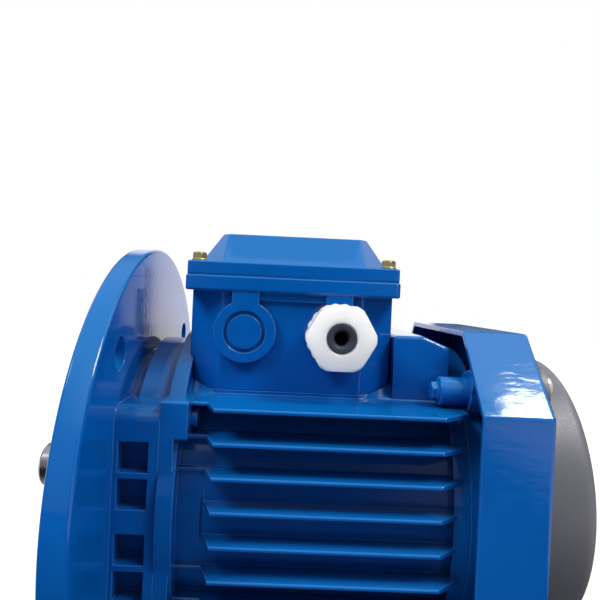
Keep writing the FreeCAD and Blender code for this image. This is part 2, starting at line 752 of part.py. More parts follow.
    first_tie = extrude(body, "tie_hole", tie_hole, "tie_boss_length", cut=True)
    polar(body, "tie_holes", [first_tie], 4)
    holes = new_sketch(body, "post_hole_outline", "YZ_Plane", "shield_depth + post_length")
    for sy, sz in corner_signs():
        draw_circle(holes, f"({sy}) * ({HUB} - lug_bolt_inset)", f"({sz}) * 3 * fin_pitch",
                    "lug_bolt_radius + thread_play")
    extrude(body, "post_holes", holes, "post_length", cut=True)
    heads = new_sketch(body, "head_room_outline", "YZ_Plane", "shield_depth + post_length")
    for sy, sz in corner_signs():
        draw_circle(heads, f"({sy}) * ({HUB} - lug_bolt_inset)", f"({sz}) * 3 * fin_pitch",
                    "lug_head_radius + thread_play")
    extrude(body, "head_room", heads, f"{FIN_START} - shield_depth - post_length", cut=True, reverse=True)
    wires = new_sketch(body, "wire_passage_outline", "XY_Plane", SEAT)
    draw_outline(wires, wire_hole())
    extrude(body, "wire_passage", wires, "seat_rise + barrel_wall * 3", cut=True)
    screws = new_sketch(body, "box_thread_outline", "XY_Plane", SEAT)
    for sx, sy in corner_signs():
        draw_circle(screws, f"{BOX_X} + ({sx}) * {BOX_SCREW_LENGTH}", f"({sy}) * {BOX_SCREW_WIDTH}",
                    "lid_screw_radius + thread_play")
    extrude(body, "box_threads", screws, f"box_screw_grip - box_floor + {OVERRUN}", cut=True)


def wire_hole():
    """Corners of the passage for the winding leads, through the box floor and the barrel."""
    middle = f"({BOX_X} + {WIRE_HOLE})"
    return rectangle(f"{middle} - wire_hole_half", "-wire_hole_half", f"{middle} + wire_hole_half",
                     "wire_hole_half")


def rear_end_shield():
    """Fan-end shield with its bearing seat, bolt ears and posts for the cowl."""
    body = new_body("rear_end_shield")
    front = f"({FAN_BEARING} - seat_lead)"
    lip = f"({FRAME_END} - register_depth)"
    register = f"({BORE} - fit)"
    turn(body, "plate_and_hub", [[
        (front, "0"), (front, "bearing_hub_radius"), (lip, "bearing_hub_radius"), (lip, register),
        (FRAME_END, register), (FRAME_END, REAR_RING), (REAR_FACE, REAR_RING),
        (REAR_FACE, "0")]])
    ear = new_sketch(body, "ear_outline", "YZ_Plane", FRAME_END)
    draw_circle(ear, f"{TIE_RADIUS} * cos(45)", f"{TIE_RADIUS} * sin(45)", "ear_radius")
    ear_pad = extrude(body, "ear", ear, "ear_length")
    post = new_sketch(body, "cowl_post_outline", "YZ_Plane", FRAME_END)
    draw_circle(post, f"{COWL_SCREW} * cos(45)", f"{COWL_SCREW} * sin(45)", "cowl_post_radius")
    post_pad = extrude(body, "cowl_post", post, f"{COWL_END} - cowl_wall - {FRAME_END}")
    polar(body, "ears_and_posts", [ear_pad, post_pad], 4)
    seat = "(bearing_outer_radius + fit)"
    shaft_hole = "(fan_seat_radius + shaft_hole_gap)"
    turn(body, "bearing_seat", [[
        (front, "0"), (front, seat), (SPRING_SEAT, seat), (SPRING_SEAT, shaft_hole),
        (REAR_FACE, shaft_hole), (REAR_FACE, "0")]], cut=True)
    turn(body, "inner_relief", [rectangle(lip, "bearing_hub_radius", f"{REAR_FACE} - rear_web",
                                          f"{BORE} - register_wall")], cut=True)
    tie = new_sketch(body, "tie_thread_outline", "YZ_Plane", FRAME_END)
    draw_circle(tie, f"{TIE_RADIUS} * cos(45)", f"{TIE_RADIUS} * sin(45)", "tie_bolt_radius + thread_play")
    tie_cut = extrude(body, "tie_thread", tie, "ear_length", cut=True, reverse=True)
    screw = new_sketch(body, "cowl_thread_outline", "YZ_Plane", f"{COWL_END} - cowl_wall")
    draw_circle(screw, f"{COWL_SCREW} * cos(45)", f"{COWL_SCREW} * sin(45)",
                "cowl_screw_radius + thread_play")
    screw_cut = extrude(body, "cowl_thread", screw, "cowl_screw_grip", cut=True)
    polar(body, "threads", [tie_cut, screw_cut], 4)


def fan_cowl():
    """Octagonal sheet cowl, open towards the frame, with a round opening behind the fan."""
    body = new_body("fan_cowl")
    outer = new_sketch(body, "cowl_outline", "YZ_Plane", COWL_START)
    draw_outline(outer, octagon(COWL_HALF, COWL_HALF, "cowl_corner", "cowl_corner"))
    shell = extrude(body, "cowl", outer, "cowl_length")
    round_edges(body, "cowl_rounds", shell, "cowl_edge_round",
                lambda edge: runs_along(edge, X_WAY) or edge.CenterOfMass.x > number(f"{COWL_END} - 0.01"))
    inner = new_sketch(body, "cowl_inside", "YZ_Plane", COWL_START)
    half = f"({COWL_HALF} - cowl_wall)"
    inner_corner = "(cowl_corner - cowl_wall * (2 - 1 / cos(45)))"
    draw_outline(inner, octagon(half, half, inner_corner, inner_corner))
    extrude(body, "cowl_room", inner, "cowl_length - cowl_wall", cut=True, reverse=True)
    opening = new_sketch(body, "fan_opening_outline", "YZ_Plane", COWL_END)
    draw_circle(opening, "0", "0", GUARD_INSIDE)
    extrude(body, "fan_opening", opening, "cowl_wall", cut=True)
    hole = new_sketch(body, "cowl_hole_outline", "YZ_Plane", COWL_END)
    draw_circle(hole, f"{COWL_SCREW} * cos(45)", f"{COWL_SCREW} * sin(45)",
                "cowl_screw_radius + thread_play")
    first = extrude(body, "cowl_hole", hole, "cowl_wall", cut=True)
    polar(body, "cowl_holes", [first], 4)


def fan_guard():
    """Round moulded guard over the air inlet, with two rings of radial slots."""
    body = new_body("fan_guard")
    flange_end = f"({COWL_END} + guard_flange)"
    back = f"({GUARD_END} - guard_wall)"
    turn(body, "cup", [[
        (COWL_END, GUARD_INSIDE), (COWL_END, GUARD_FLANGE), (flange_end, GUARD_FLANGE),
        (flange_end, "guard_radius"), (GUARD_END, "guard_radius"), (GUARD_END, "0"), (back, "0"),
        (back, GUARD_INSIDE)]])
    ear = new_sketch(body, "ear_outline", "YZ_Plane", COWL_END)
    draw_circle(ear, f"{COWL_SCREW} * cos(45)", f"{COWL_SCREW} * sin(45)", "guard_ear_radius")
    ear_pad = extrude(body, "ear", ear, "guard_flange")
    root = f"({COWL_SCREW} - guard_ear_radius)"
    neck = new_sketch(body, "ear_root_outline", "YZ_Plane", COWL_END)
    draw_circle(neck, f"{root} * cos(45)", f"{root} * sin(45)", f"{root} - {GUARD_INSIDE} - {OVERRUN}")
    neck_pad = extrude(body, "ear_root", neck, "guard_flange")
    ears = polar(body, "ears", [ear_pad, neck_pad], 4)
    round_edges(body, "rim_round", ears, "guard_rim_round",
                lambda edge: is_circle(edge, "guard_radius", GUARD_END))
    turn(body, "inlet_room", [rectangle(COWL_END, "0", f"{GUARD_END} - guard_rim_round", GUARD_INSIDE)],
         cut=True)
    slot_rows = (("inner_slot", "slot_inner", "slot_middle - slot_web", INNER_SLOTS),
                 ("outer_slot", "slot_middle", f"{GUARD_INSIDE} - slot_rim", OUTER_SLOTS))
    for name, inner, outer, count in slot_rows:
        slot = new_sketch(body, f"{name}_outline", "YZ_Plane", GUARD_END)
        draw_outline(slot, rectangle("-slot_width / 2", inner, "slot_width / 2", outer))
        first = extrude(body, name, slot, "guard_wall + guard_rim_round", cut=True)
        polar(body, f"{name}s", [first], count)
    hole = new_sketch(body, "screw_hole_outline", "YZ_Plane", flange_end)
    draw_circle(hole, f"{COWL_SCREW} * cos(45)", f"{COWL_SCREW} * sin(45)",
                "cowl_screw_radius + thread_play")
    first = extrude(body, "screw_hole", hole, "guard_flange", cut=True)
    polar(body, "screw_holes", [first], 4)


def quarter_points(radius):
    """Y and Z of the four points at 45 degrees on a circle, as formulas."""
    return [(f"({sy}) * {radius} * cos(45)", f"({sz}) * {radius} * sin(45)") for sy, sz in corner_signs()]


def housing_fasteners():
    """Bolts and screws that hold the shields, the cowl and the guard."""
    bolts = []
    washers = []
    boss_face = f"({FRAME_END} - tie_boss_length)"
    washer_face = f"({boss_face} - tie_washer_thickness)"
    for index, (y, z) in enumerate(quarter_points(TIE_RADIUS)):
        head = hexagon(f"tie_head_{index}", "tie_head_flats", "tie_head_height", washer_face, y, z, -X_WAY)
        shank = rod(f"tie_shank_{index}", "tie_bolt_radius",
                    "tie_washer_thickness + tie_boss_length + thread_length", washer_face, y, z, X_WAY)
        bolts.append(fuse(f"tie_bolt_{index}", [head, shank]))
        disc = rod(f"tie_disc_{index}", "tie_washer_radius", "tie_washer_thickness", washer_face, y, z, X_WAY)
        eye = rod(f"tie_eye_{index}", "tie_bolt_radius + thread_play", "tie_washer_thickness",
                  washer_face, y, z, X_WAY)
        washers.append(subtract(f"tie_washer_{index}", disc, eye))
    group("tie_bolts", bolts)
    group("tie_washers", washers)
    lug_bolts = []
    post_face = "(shield_depth + post_length)"
    for index, (sy, sz) in enumerate(corner_signs()):
        y = f"({sy}) * ({HUB} - lug_bolt_inset)"
        z = f"({sz}) * 3 * fin_pitch"
        head = rod(f"lug_head_{index}", "lug_head_radius", "lug_head_height", post_face, y, z, X_WAY)
        shank = rod(f"lug_shank_{index}", "lug_bolt_radius", "post_length + lug_bolt_thread",
                    post_face, y, z, -X_WAY)
        lug_bolts.append(fuse(f"lug_bolt_{index}", [head, shank]))
    group("drive_end_bolts", lug_bolts)
    screws = []
    guard_face = f"({COWL_END} + guard_flange)"
    for index, (y, z) in enumerate(quarter_points(COWL_SCREW)):
        head = rod(f"cowl_head_{index}", "cowl_head_radius", "cowl_head_height", guard_face, y, z, X_WAY)
        shank = rod(f"cowl_shank_{index}", "cowl_screw_radius",
                    "guard_flange + cowl_wall + cowl_screw_grip - screw_tip_gap", guard_face, y, z, -X_WAY)
        screws.append(fuse(f"cowl_screw_{index}", [head, shank]))
    group("cowl_screws", screws)


def terminal_box():
    """Box base with a saddle foot, a rim for the lid, two entry pads and a blind knock-out."""
    body = new_body("terminal_box")
    walls = new_sketch(body, "wall_outline", "XY_Plane", BOX_FOOT)
    draw_outline(walls, octagon("box_half_length", "box_half_width", "box_corner", "box_corner_side",
                                centre_x=BOX_X))
    wall_pad = extrude(body, "walls", walls, f"{RIM_BOTTOM} - {BOX_FOOT}")
    round_edges(body, "wall_rounds", wall_pad, "wall_round", lambda edge: runs_along(edge, Z_WAY))
    rim = new_sketch(body, "rim_outline", "XY_Plane", RIM_BOTTOM)
    draw_outline(rim, rectangle(f"{BOX_X} - {RIM_LENGTH}", f"-{RIM_WIDTH}",
                                f"{BOX_X} + {RIM_LENGTH}", RIM_WIDTH))
    rim_pad = extrude(body, "rim", rim, "rim_height")
    rim_pad = round_edges(body, "rim_rounds", rim_pad, "rim_round", lambda edge: runs_along(edge, Z_WAY)
                          and abs(edge.CenterOfMass.y) > number(f"{RIM_WIDTH} - 0.01"))
    round_edges(body, "rim_edges", rim_pad, "rim_edge", on_rim_edge)
    entry_pads(body)
    room = new_sketch(body, "room_outline", "XY_Plane", BOX_TOP)
    draw_outline(room, octagon("(box_half_length - box_wall)", "(box_half_width - box_wall)",
                               *ROOM_CORNER, centre_x=BOX_X))
    extrude(body, "room", room, f"{BOX_TOP} - {FLOOR_TOP}", cut=True)
    well = new_sketch(body, "gland_well_outline", "XY_Plane", f"{ENTRY_Z} + well_drop")
    inner_wall = "(-box_half_width + box_wall)"
    well_reach = "(entry_offset + well_half_width)"
    draw_outline(well, rectangle(f"{BOX_X} - {well_reach}", inner_wall, f"{BOX_X} + {well_reach}",
                                 f"{inner_wall} + well_depth"))
    extrude(body, "gland_well", well, "2 * well_drop", cut=True)
    underside = new_sketch(body, "underside_outline", "XY_Plane", BOX_FOOT)
    draw_outline(underside, rectangle(f"{BOX_X} - {SEAT_LENGTH} - seat_gap", f"-{SEAT_WIDTH} - seat_gap",
                                      f"{BOX_X} + {SEAT_LENGTH} + seat_gap", f"{SEAT_WIDTH} + seat_gap"))
    extrude(body, "underside", underside, f"{SEAT} - {BOX_FOOT}", cut=True, reverse=True)
    far_left = f"({BOX_X} - 2 * box_half_length)"
    far_right = f"({BOX_X} + 2 * box_half_length)"
    ring_clear = f"({FRONT_RING} + box_barrel_gap)"
    over_ring = f"({FRONT_RING_END} + box_barrel_gap)"
    over_barrel = "(barrel_radius + box_barrel_gap)"
    turn(body, "saddle_foot", [[
        (far_left, "0"), (far_left, ring_clear), (over_ring, ring_clear), (over_ring, over_barrel),
        (far_right, over_barrel), (far_right, "0")]], cut=True)
    passage = new_sketch(body, "wire_hole_outline", "XY_Plane", FLOOR_TOP)
    draw_outline(passage, wire_hole())
    extrude(body, "wire_hole", passage, "box_floor", cut=True)
    floor_holes = new_sketch(body, "floor_hole_outline", "XY_Plane", FLOOR_TOP)
    for sx, sy in corner_signs():
        draw_circle(floor_holes, f"{BOX_X} + ({sx}) * {BOX_SCREW_LENGTH}", f"({sy}) * {BOX_SCREW_WIDTH}",
                    "lid_screw_radius + thread_play")
    for sx in (-1, 1):
        draw_circle(floor_holes, f"{BOARD_X} + ({sx}) * board_screw_reach", "0", "stud_radius + thread_play")
    draw_circle(floor_holes, f"{BOX_X} + {EARTH_LENGTH}", EARTH_WIDTH, "stud_radius + thread_play")
    extrude(body, "floor_holes", floor_holes, "box_floor", cut=True)
    threads = new_sketch(body, "lid_thread_outline", "XY_Plane", BOX_TOP)
    for sx, sy in corner_signs():
        draw_circle(threads, f"{BOX_X} + ({sx}) * ({RIM_LENGTH} - lid_screw_inset)",
                    f"({sy}) * ({RIM_WIDTH} - lid_screw_inset)", "lid_screw_radius + thread_play")
    extrude(body, "lid_threads", threads, "rim_height", cut=True)


def on_rim_edge(edge):
    """Whether an edge runs round the outside of the box rim, at its bottom or its top."""
    middle = edge.CenterOfMass
    level = min(abs(middle.z - number(RIM_BOTTOM)), abs(middle.z - number(BOX_TOP))) < 1e-4
    return level and (abs(middle.y) > number("box_half_width") + 1e-4
                      or abs(middle.x - number(BOX_X)) > number("box_half_length") + 1e-4)


def entry_pads(body):
    """Raised round pads hung from the rim on the front wall, one bored and one with a knock-out ring."""
    left = f"({BOX_X} - entry_offset)"
    right = f"({BOX_X} + entry_offset)"
    for name, middle in (("knockout", left), ("gland", right)):
        pad = new_sketch(body, f"{name}_pad_outline", "XZ_Plane", "box_half_width - box_wall / 2")
        draw_circle(pad, middle, ENTRY_Z, "entry_pad_radius")
        extrude(body, f"{name}_pad", pad, "entry_pad_height + box_wall / 2")
        stem = new_sketch(body, f"{name}_stem_outline", "XZ_Plane", "box_half_width - box_wall / 2")
        draw_outline(stem, rectangle(f"{middle} - stem_half_width", ENTRY_Z, f"{middle} + stem_half_width",
                                     f"{RIM_BOTTOM} + {OVERRUN}"))
        extrude(body, f"{name}_stem", stem, "entry_pad_height + box_wall / 2")
    ledge = new_sketch(body, "ledge_outline", "XZ_Plane", "box_half_width - box_wall / 2")
    draw_outline(ledge, rectangle(left, f"{RIM_BOTTOM} - ledge_height", right, f"{RIM_BOTTOM} + {OVERRUN}"))
    extrude(body, "ledge", ledge, "ledge_depth + box_wall / 2")
    ring = new_sketch(body, "knockout_ring_outline", "XZ_Plane", PAD_FACE)
    draw_circle(ring, left, ENTRY_Z, "knockout_radius")
    draw_circle(ring, left, ENTRY_Z, "knockout_radius - knockout_groove")
    extrude(body, "knockout_ring", ring, "knockout_depth", cut=True)
    bore = new_sketch(body, "gland_bore_outline", "XZ_Plane", PAD_FACE)
    draw_circle(bore, right, ENTRY_Z, "gland_hole_radius + gland_play")
    extrude(body, "gland_bore", bore, f"entry_pad_height + box_wall + {OVERRUN}", cut=True)


def terminal_lid():
    """Lid plate with a hollow faceted dome."""
    body = new_body("terminal_lid")
    length = f"({RIM_LENGTH} - lid_inset)"
    width = f"({RIM_WIDTH} - lid_inset)"
    plate = new_sketch(body, "plate_outline", "XY_Plane", LID_BOTTOM)
    draw_outline(plate, rectangle(f"{BOX_X} - {length}", f"-{width}", f"{BOX_X} + {length}", width))
    plate_pad = extrude(body, "plate", plate, "lid_plate")
    plate_pad = round_edges(body, "plate_rounds", plate_pad, "lid_round",
                            lambda edge: runs_along(edge, Z_WAY))
    round_edges(body, "plate_edges", plate_pad, "lid_edge",
                lambda edge: edge.CenterOfMass.z > number(f"{LID_TOP} - 0.01"))
    dome = dome_loft(body, "dome", "PartDesign::AdditiveLoft", LID_TOP, DOME_TOP, "0")
    round_edges(body, "dome_rounds", dome, "dome_round",
                lambda edge: edge.CenterOfMass.z > number(f"{LID_TOP} + 0.01"))
    dome_loft(body, "dome_room", "PartDesign::SubtractiveLoft", LID_BOTTOM, f"({DOME_TOP} - dome_wall)",
              "dome_wall")
    holes = new_sketch(body, "lid_hole_outline", "XY_Plane", LID_TOP)
    for sx, sy in corner_signs():
        draw_circle(holes, f"{BOX_X} + ({sx}) * ({RIM_LENGTH} - lid_screw_inset)",
                    f"({sy}) * ({RIM_WIDTH} - lid_screw_inset)", "lid_screw_radius + thread_play")
    extrude(body, "lid_holes", holes, "lid_plate", cut=True)


def dome_loft(body, name, kind, low, high, inset):
    """Faceted dome between its base and its top, or the smaller room inside it."""
    sections = []
    for end, level, (half_x, half_y), corner in (("base", low, DOME_BASE, "dome_base_corner"),
                                                 ("top", high, DOME_CROWN, "dome_top_corner")):
        section = new_sketch(body, f"{name}_{end}", "XY_Plane", level)
        draw_outline(section, octagon(f"({half_x} - {inset})", f"({half_y} - {inset})", corner, corner,
                                      centre_x=BOX_X))
        sections.append(section)
    loft = body.newObject(kind, name)
    loft.Profile = sections[0]
    loft.Sections = [sections[1]]
    loft.Ruled = True
    body.Tip = loft
    return loft


def lid_gasket():
    """Flat gasket between the box rim and the lid."""
    body = new_body("lid_gasket")
    length = f"({RIM_LENGTH} - lid_inset - gasket_inset)"
    width = f"({RIM_WIDTH} - lid_inset - gasket_inset)"
    outline = new_sketch(body, "gasket_outline", "XY_Plane", BOX_TOP)
    draw_outline(outline, rectangle(f"{BOX_X} - {length}", f"-{width}", f"{BOX_X} + {length}", width))
    draw_outline(outline, octagon("(box_half_length - box_wall)", "(box_half_width - box_wall)",
                                  *ROOM_CORNER, centre_x=BOX_X))
    for sx, sy in corner_signs():
        draw_circle(outline, f"{BOX_X} + ({sx}) * ({RIM_LENGTH} - lid_screw_inset)",
                    f"({sy}) * ({RIM_WIDTH} - lid_screw_inset)", "lid_screw_radius + thread_play")
    extrude(body, "gasket", outline, "gasket_thickness")


def box_fasteners():
    """Lid screws with their washers, and the screws that hold the box to its seat."""
    screws = []
    washers = []
    box_screws = []
    washer_top = f"({LID_TOP} + lid_washer_thickness)"
    grip = "lid_washer_thickness + lid_plate + gasket_thickness + lid_screw_grip"
    for index, (sx, sy) in enumerate(corner_signs()):
        x = f"{BOX_X} + ({sx}) * ({RIM_LENGTH} - lid_screw_inset)"
        y = f"({sy}) * ({RIM_WIDTH} - lid_screw_inset)"
        head = hexagon(f"lid_head_{index}", "lid_head_flats", "lid_head_height", x, y, washer_top, Z_WAY)
        shank = rod(f"lid_shank_{index}", "lid_screw_radius", grip, x, y, washer_top, -Z_WAY)
        screws.append(fuse(f"lid_screw_{index}", [head, shank]))
        disc = rod(f"lid_disc_{index}", "lid_washer_radius", "lid_washer_thickness", x, y, LID_TOP, Z_WAY)
        eye = rod(f"lid_eye_{index}", "lid_screw_radius + thread_play", "lid_washer_thickness",
                  x, y, LID_TOP, Z_WAY)
        washers.append(subtract(f"lid_washer_{index}", disc, eye))
        x = f"{BOX_X} + ({sx}) * {BOX_SCREW_LENGTH}"
        y = f"({sy}) * {BOX_SCREW_WIDTH}"
        head = rod(f"box_head_{index}", "box_head_radius", "box_head_height", x, y, FLOOR_TOP, Z_WAY)
        shank = rod(f"box_shank_{index}", "lid_screw_radius", "box_screw_grip", x, y, FLOOR_TOP, -Z_WAY)
        box_screws.append(fuse(f"box_screw_{index}", [head, shank]))
    group("lid_screws", screws)
    group("lid_washers", washers)
    group("box_screws", box_screws)


def stud_places():
    """X and Y of the six terminals, as formulas."""
    return [(f"{BOARD_X} + ({column}) * stud_spacing", f"({side}) * {STUD_ROW}")
            for column in (-1, 0, 1) for side in (-1, 1)]


def terminal_board():
    """Moulded board with six studs, their nuts, three links, two screws and the earth screw."""
    body = new_body("terminal_board")
    outline = new_sketch(body, "board_outline", "XY_Plane", FLOOR_TOP)
    draw_outline(outline, rectangle(f"{BOARD_X} - board_half_length", f"-{BOARD_WIDTH}",
                                    f"{BOARD_X} + board_half_length", BOARD_WIDTH))
    board = extrude(body, "board", outline, "board_height")
    round_edges(body, "board_rounds", board, "rim_round", lambda edge: runs_along(edge, Z_WAY))
    sockets = new_sketch(body, "stud_socket_outline", "XY_Plane", BOARD_TOP)
    for x, y in stud_places():
        draw_circle(sockets, x, y, "stud_radius + fit")
    extrude(body, "stud_sockets", sockets, "stud_seat", cut=True)
    holes = new_sketch(body, "board_hole_outline", "XY_Plane", BOARD_TOP)
    for sx in (-1, 1):
        draw_circle(holes, f"{BOARD_X} + ({sx}) * board_screw_reach", "0", "stud_radius + thread_play")
    extrude(body, "board_holes", holes, "board_height", cut=True)
    link_top = f"({BOARD_TOP} + link_thickness)"
    studs = []
    nuts = []
    links = []
    for index, (x, y) in enumerate(stud_places()):
        studs.append(rod(f"stud_{index}", "stud_radius", "stud_length", x, y,
                         f"{BOARD_TOP} - stud_seat", Z_WAY))
        blank = hexagon(f"nut_blank_{index}", "nut_flats", "nut_height", x, y, link_top, Z_WAY)
        eye = rod(f"nut_eye_{index}", "stud_radius + fit", "nut_height", x, y, link_top, Z_WAY)
        nuts.append(subtract(f"nut_{index}", blank, eye))
    for column in (-1, 0, 1):
        x = f"{BOARD_X} + ({column}) * stud_spacing"
        strip = block(f"strip_{column + 1}", f"{x} - link_width / 2", f"-{STUD_ROW} - link_width / 2",
                      BOARD_TOP, "link_width", f"2 * {STUD_ROW} + link_width", "link_thickness")
        eyes = [rod(f"link_eye_{column + 1}_{side + 1}", "stud_radius + fit", "link_thickness",
                    x, f"({side}) * {STUD_ROW}", BOARD_TOP, Z_WAY) for side in (-1, 1)]
        links.append(subtract(f"link_{column + 1}", strip, fuse(f"link_eyes_{column + 1}", eyes)))
    group("terminal_studs", studs)
    group("terminal_nuts", nuts)
    group("terminal_links", links)
    screws = []
    for index, sx in enumerate((-1, 1)):
        x = f"{BOARD_X} + ({sx}) * board_screw_reach"
        head = rod(f"board_head_{index}", "box_head_radius", "box_head_height", x, "0", BOARD_TOP, Z_WAY)
        shank = rod(f"board_shank_{index}", "stud_radius", "board_height + box_floor", x, "0",
                    BOARD_TOP, -Z_WAY)
        screws.append(fuse(f"board_screw_{index}", [head, shank]))
    group("board_screws", screws)
    earth_x = f"{BOX_X} + {EARTH_LENGTH}"
    head = hexagon("earth_head", "nut_flats", "nut_height", earth_x, EARTH_WIDTH, FLOOR_TOP, Z_WAY)
    shank = rod("earth_shank", "stud_radius", "box_floor", earth_x, EARTH_WIDTH, FLOOR_TOP, -Z_WAY)
    pieces.append(fuse("earth_screw", [head, shank]))


def cable_gland():
    """Gland body with a scalloped collar, its hexagonal nut, rubber seal and inner locknut."""
    wall = "(entry_pad_height + box_wall)"
    neck_end = "(gland_collar_length + gland_neck_length)"
    nut_start = "(gland_collar_length + gland_nut_gap)"
    nut_end = f"({nut_start} + gland_nut_length)"
    front = f"({nut_end} + gland_dome_length)"
    body = new_body("gland_body")
    turn(body, "tube_and_collar", [[
        ("-gland_tube_length", "gland_bore_radius"), ("-gland_tube_length", "gland_hole_radius"),
        ("0", "gland_hole_radius"), ("0", "gland_collar_radius"),
        ("gland_collar_length", "gland_collar_radius"), ("gland_collar_length", "gland_neck_radius"),
        (neck_end, "gland_neck_radius"), (neck_end, "gland_bore_radius")]])
    scallop = new_sketch(body, "scallop_outline", "YZ_Plane", "gland_collar_length")
    draw_circle(scallop, "gland_collar_radius + gland_scallop_radius / 2", "0", "gland_scallop_radius")
    first = extrude(body, "scallop", scallop, "gland_collar_length", cut=True)
    polar(body, "scallops", [first], GLAND_SCALLOPS)
    place_gland(body)
    nut = new_body("gland_nut")
    dome_base = "(gland_nut_flats / 2)"
    turn(nut, "dome", [[(nut_start, "0"), (nut_start, dome_base), (nut_end, dome_base),
                        (front, "gland_dome_radius"), (front, "0")]])
    hexagon_sketch = new_sketch(nut, "hexagon_outline", "YZ_Plane", nut_start)
    draw_outline(hexagon_sketch, hexagon_corners("gland_nut_flats", 0))
    extrude(nut, "hexagon", hexagon_sketch, "gland_nut_length")
    turn(nut, "nut_bore", [[
        (nut_start, "0"), (nut_start, "gland_neck_radius + gland_play"),
        (f"{neck_end} + gland_play", "gland_neck_radius + gland_play"),
        (f"{neck_end} + gland_play", "gland_seal_radius + gland_play"),
        (front, "gland_seal_radius + gland_play"), (front, "0")]], cut=True)
    place_gland(nut)
    seal = new_body("gland_seal")
    turn(seal, "seal", [rectangle(f"{front} - gland_seal_length", "gland_cable_radius",
                                  f"{front} - gland_play", "gland_seal_radius")])
    place_gland(seal)
    locknut = new_body("gland_locknut")
    ring = new_sketch(locknut, "locknut_outline", "YZ_Plane", f"-{wall} - locknut_thickness")
    draw_outline(ring, hexagon_corners("locknut_flats", 30))
    draw_circle(ring, "0", "0", "gland_hole_radius + gland_play")
    extrude(locknut, "locknut", ring, "locknut_thickness")
    place_gland(locknut)


def hexagon_corners(flats, turned):
    """Corners of a hexagon sized across its flats, with its first corner turned from the first axis."""
    radius = f"{flats} / 2 / cos(30)"
    return [(f"{radius} * cos({angle + turned})", f"{radius} * sin({angle + turned})")
            for angle in range(0, 360, 60)]


def place_gland(body):
    """Put a gland piece, drawn along X, on the bored entry pad, facing -Y."""
    place(body, f"{BOX_X} + entry_offset", f"-{PAD_FACE}", ENTRY_Z, X_WAY, -Y_WAY)


def stator():
    """Slotted stator core and the windings that fill its slots and stand out at both ends."""
    core = new_body("stator_core")
    turn(core, "core", [rectangle(STATOR_START, STATOR_BORE, STATOR_END, f"{BORE} - fit")])
    slot = new_sketch(core, "slot_outline", "YZ_Plane", STATOR_END)
    depth = f"({STATOR_BORE} + stator_slot_depth)"
    draw_outline(slot, rectangle("-stator_slot_width / 2", f"{STATOR_BORE} - {OVERRUN}",
                                 "stator_slot_width / 2", depth))
    first = extrude(core, "slot", slot, f"{STATOR_END} - {STATOR_START}", cut=True)
    polar(core, "slots", [first], STATOR_SLOTS)
    winding = new_body("stator_windings")
    low = f"({STATOR_BORE} + winding_lift)"
    high = f"({low} + overhang_height)"
    start = f"({STATOR_START} - overhang_length)"
    end = f"({STATOR_END} + overhang_length)"
    turn(winding, "overhangs", [rectangle(start, low, f"{start} + overhang_width", high),
                                rectangle(f"{end} - overhang_width", low, end, high)])
    bar = new_sketch(winding, "bar_outline", "YZ_Plane", f"{start} + overhang_width / 2")
    half = "(stator_slot_width / 2 - winding_play)"
    draw_outline(bar, rectangle(f"-{half}", low, half, f"{depth} - winding_play"))
    bar_pad = extrude(winding, "bar", bar, f"{end} - {start} - overhang_width")
    polar(winding, "bars", [bar_pad], STATOR_SLOTS)


def shaft():
    """Stepped shaft with its keyway, centre hole and circlip groove, and the key."""
    body = new_body("rotor_shaft")
    first_shoulder = "(bearing_setback + bearing_width)"
    rotor_seat = f"({STATOR_START} - rotor_seat_margin)"
    rotor_seat_end = f"({STATOR_END} + rotor_seat_margin)"
    bearing_end = f"({FAN_BEARING} + bearing_width)"
    groove = f"({FAN_END} + fit)"
    groove_end = f"({groove} + circlip_thickness + 2 * fit)"
    groove_radius = "(fan_seat_radius - circlip_depth)"
    tail = f"({groove_end} + shaft_tail)"
    turn(body, "steps", [[
        ("-shaft_end_length", "0"), ("-shaft_end_length", "shaft_end_radius - shaft_chamfer"),
        ("-shaft_end_length + shaft_chamfer", "shaft_end_radius"), ("0", "shaft_end_radius"),
        ("0", "bearing_bore_radius"), (first_shoulder, "bearing_bore_radius"),
        (first_shoulder, "shoulder_radius"), (rotor_seat, "shoulder_radius"),
        (rotor_seat, "rotor_seat_radius"), (rotor_seat_end, "rotor_seat_radius"),
        (rotor_seat_end, "shoulder_radius"), (FAN_BEARING, "shoulder_radius"),
        (FAN_BEARING, "bearing_bore_radius"), (bearing_end, "bearing_bore_radius"),
        (bearing_end, "fan_seat_radius"), (groove, "fan_seat_radius"), (groove, groove_radius),
        (groove_end, groove_radius), (groove_end, "fan_seat_radius"), (tail, "fan_seat_radius"),
        (tail, "0")]])
    turn(body, "centre_hole", [rectangle("-shaft_end_length", "0", "-shaft_end_length + centre_hole_depth",
                                         "centre_hole_radius")], cut=True)
    keyway = new_sketch(body, "keyway_outline", "XY_Plane", "-shaft_end_radius")
    draw_outline(keyway, key_outline("key_play"))
    extrude(body, "keyway", keyway, "keyway_depth", cut=True, reverse=True)
    key = new_body("shaft_key")
    outline = new_sketch(key, "key_outline", "XY_Plane", "-shaft_end_radius + keyway_depth - key_height")
    draw_outline(outline, key_outline("0"))
    extrude(key, "key", outline, "key_height - key_play")


def key_outline(play):
    """Corners of the shaft key seen along the shaft's radius, with play all round."""
    half = f"(key_width / 2 + {play})"
    return rectangle(f"-shaft_end_length + key_end_gap - {play}", f"-{half}", f"-key_setback + {play}", half)


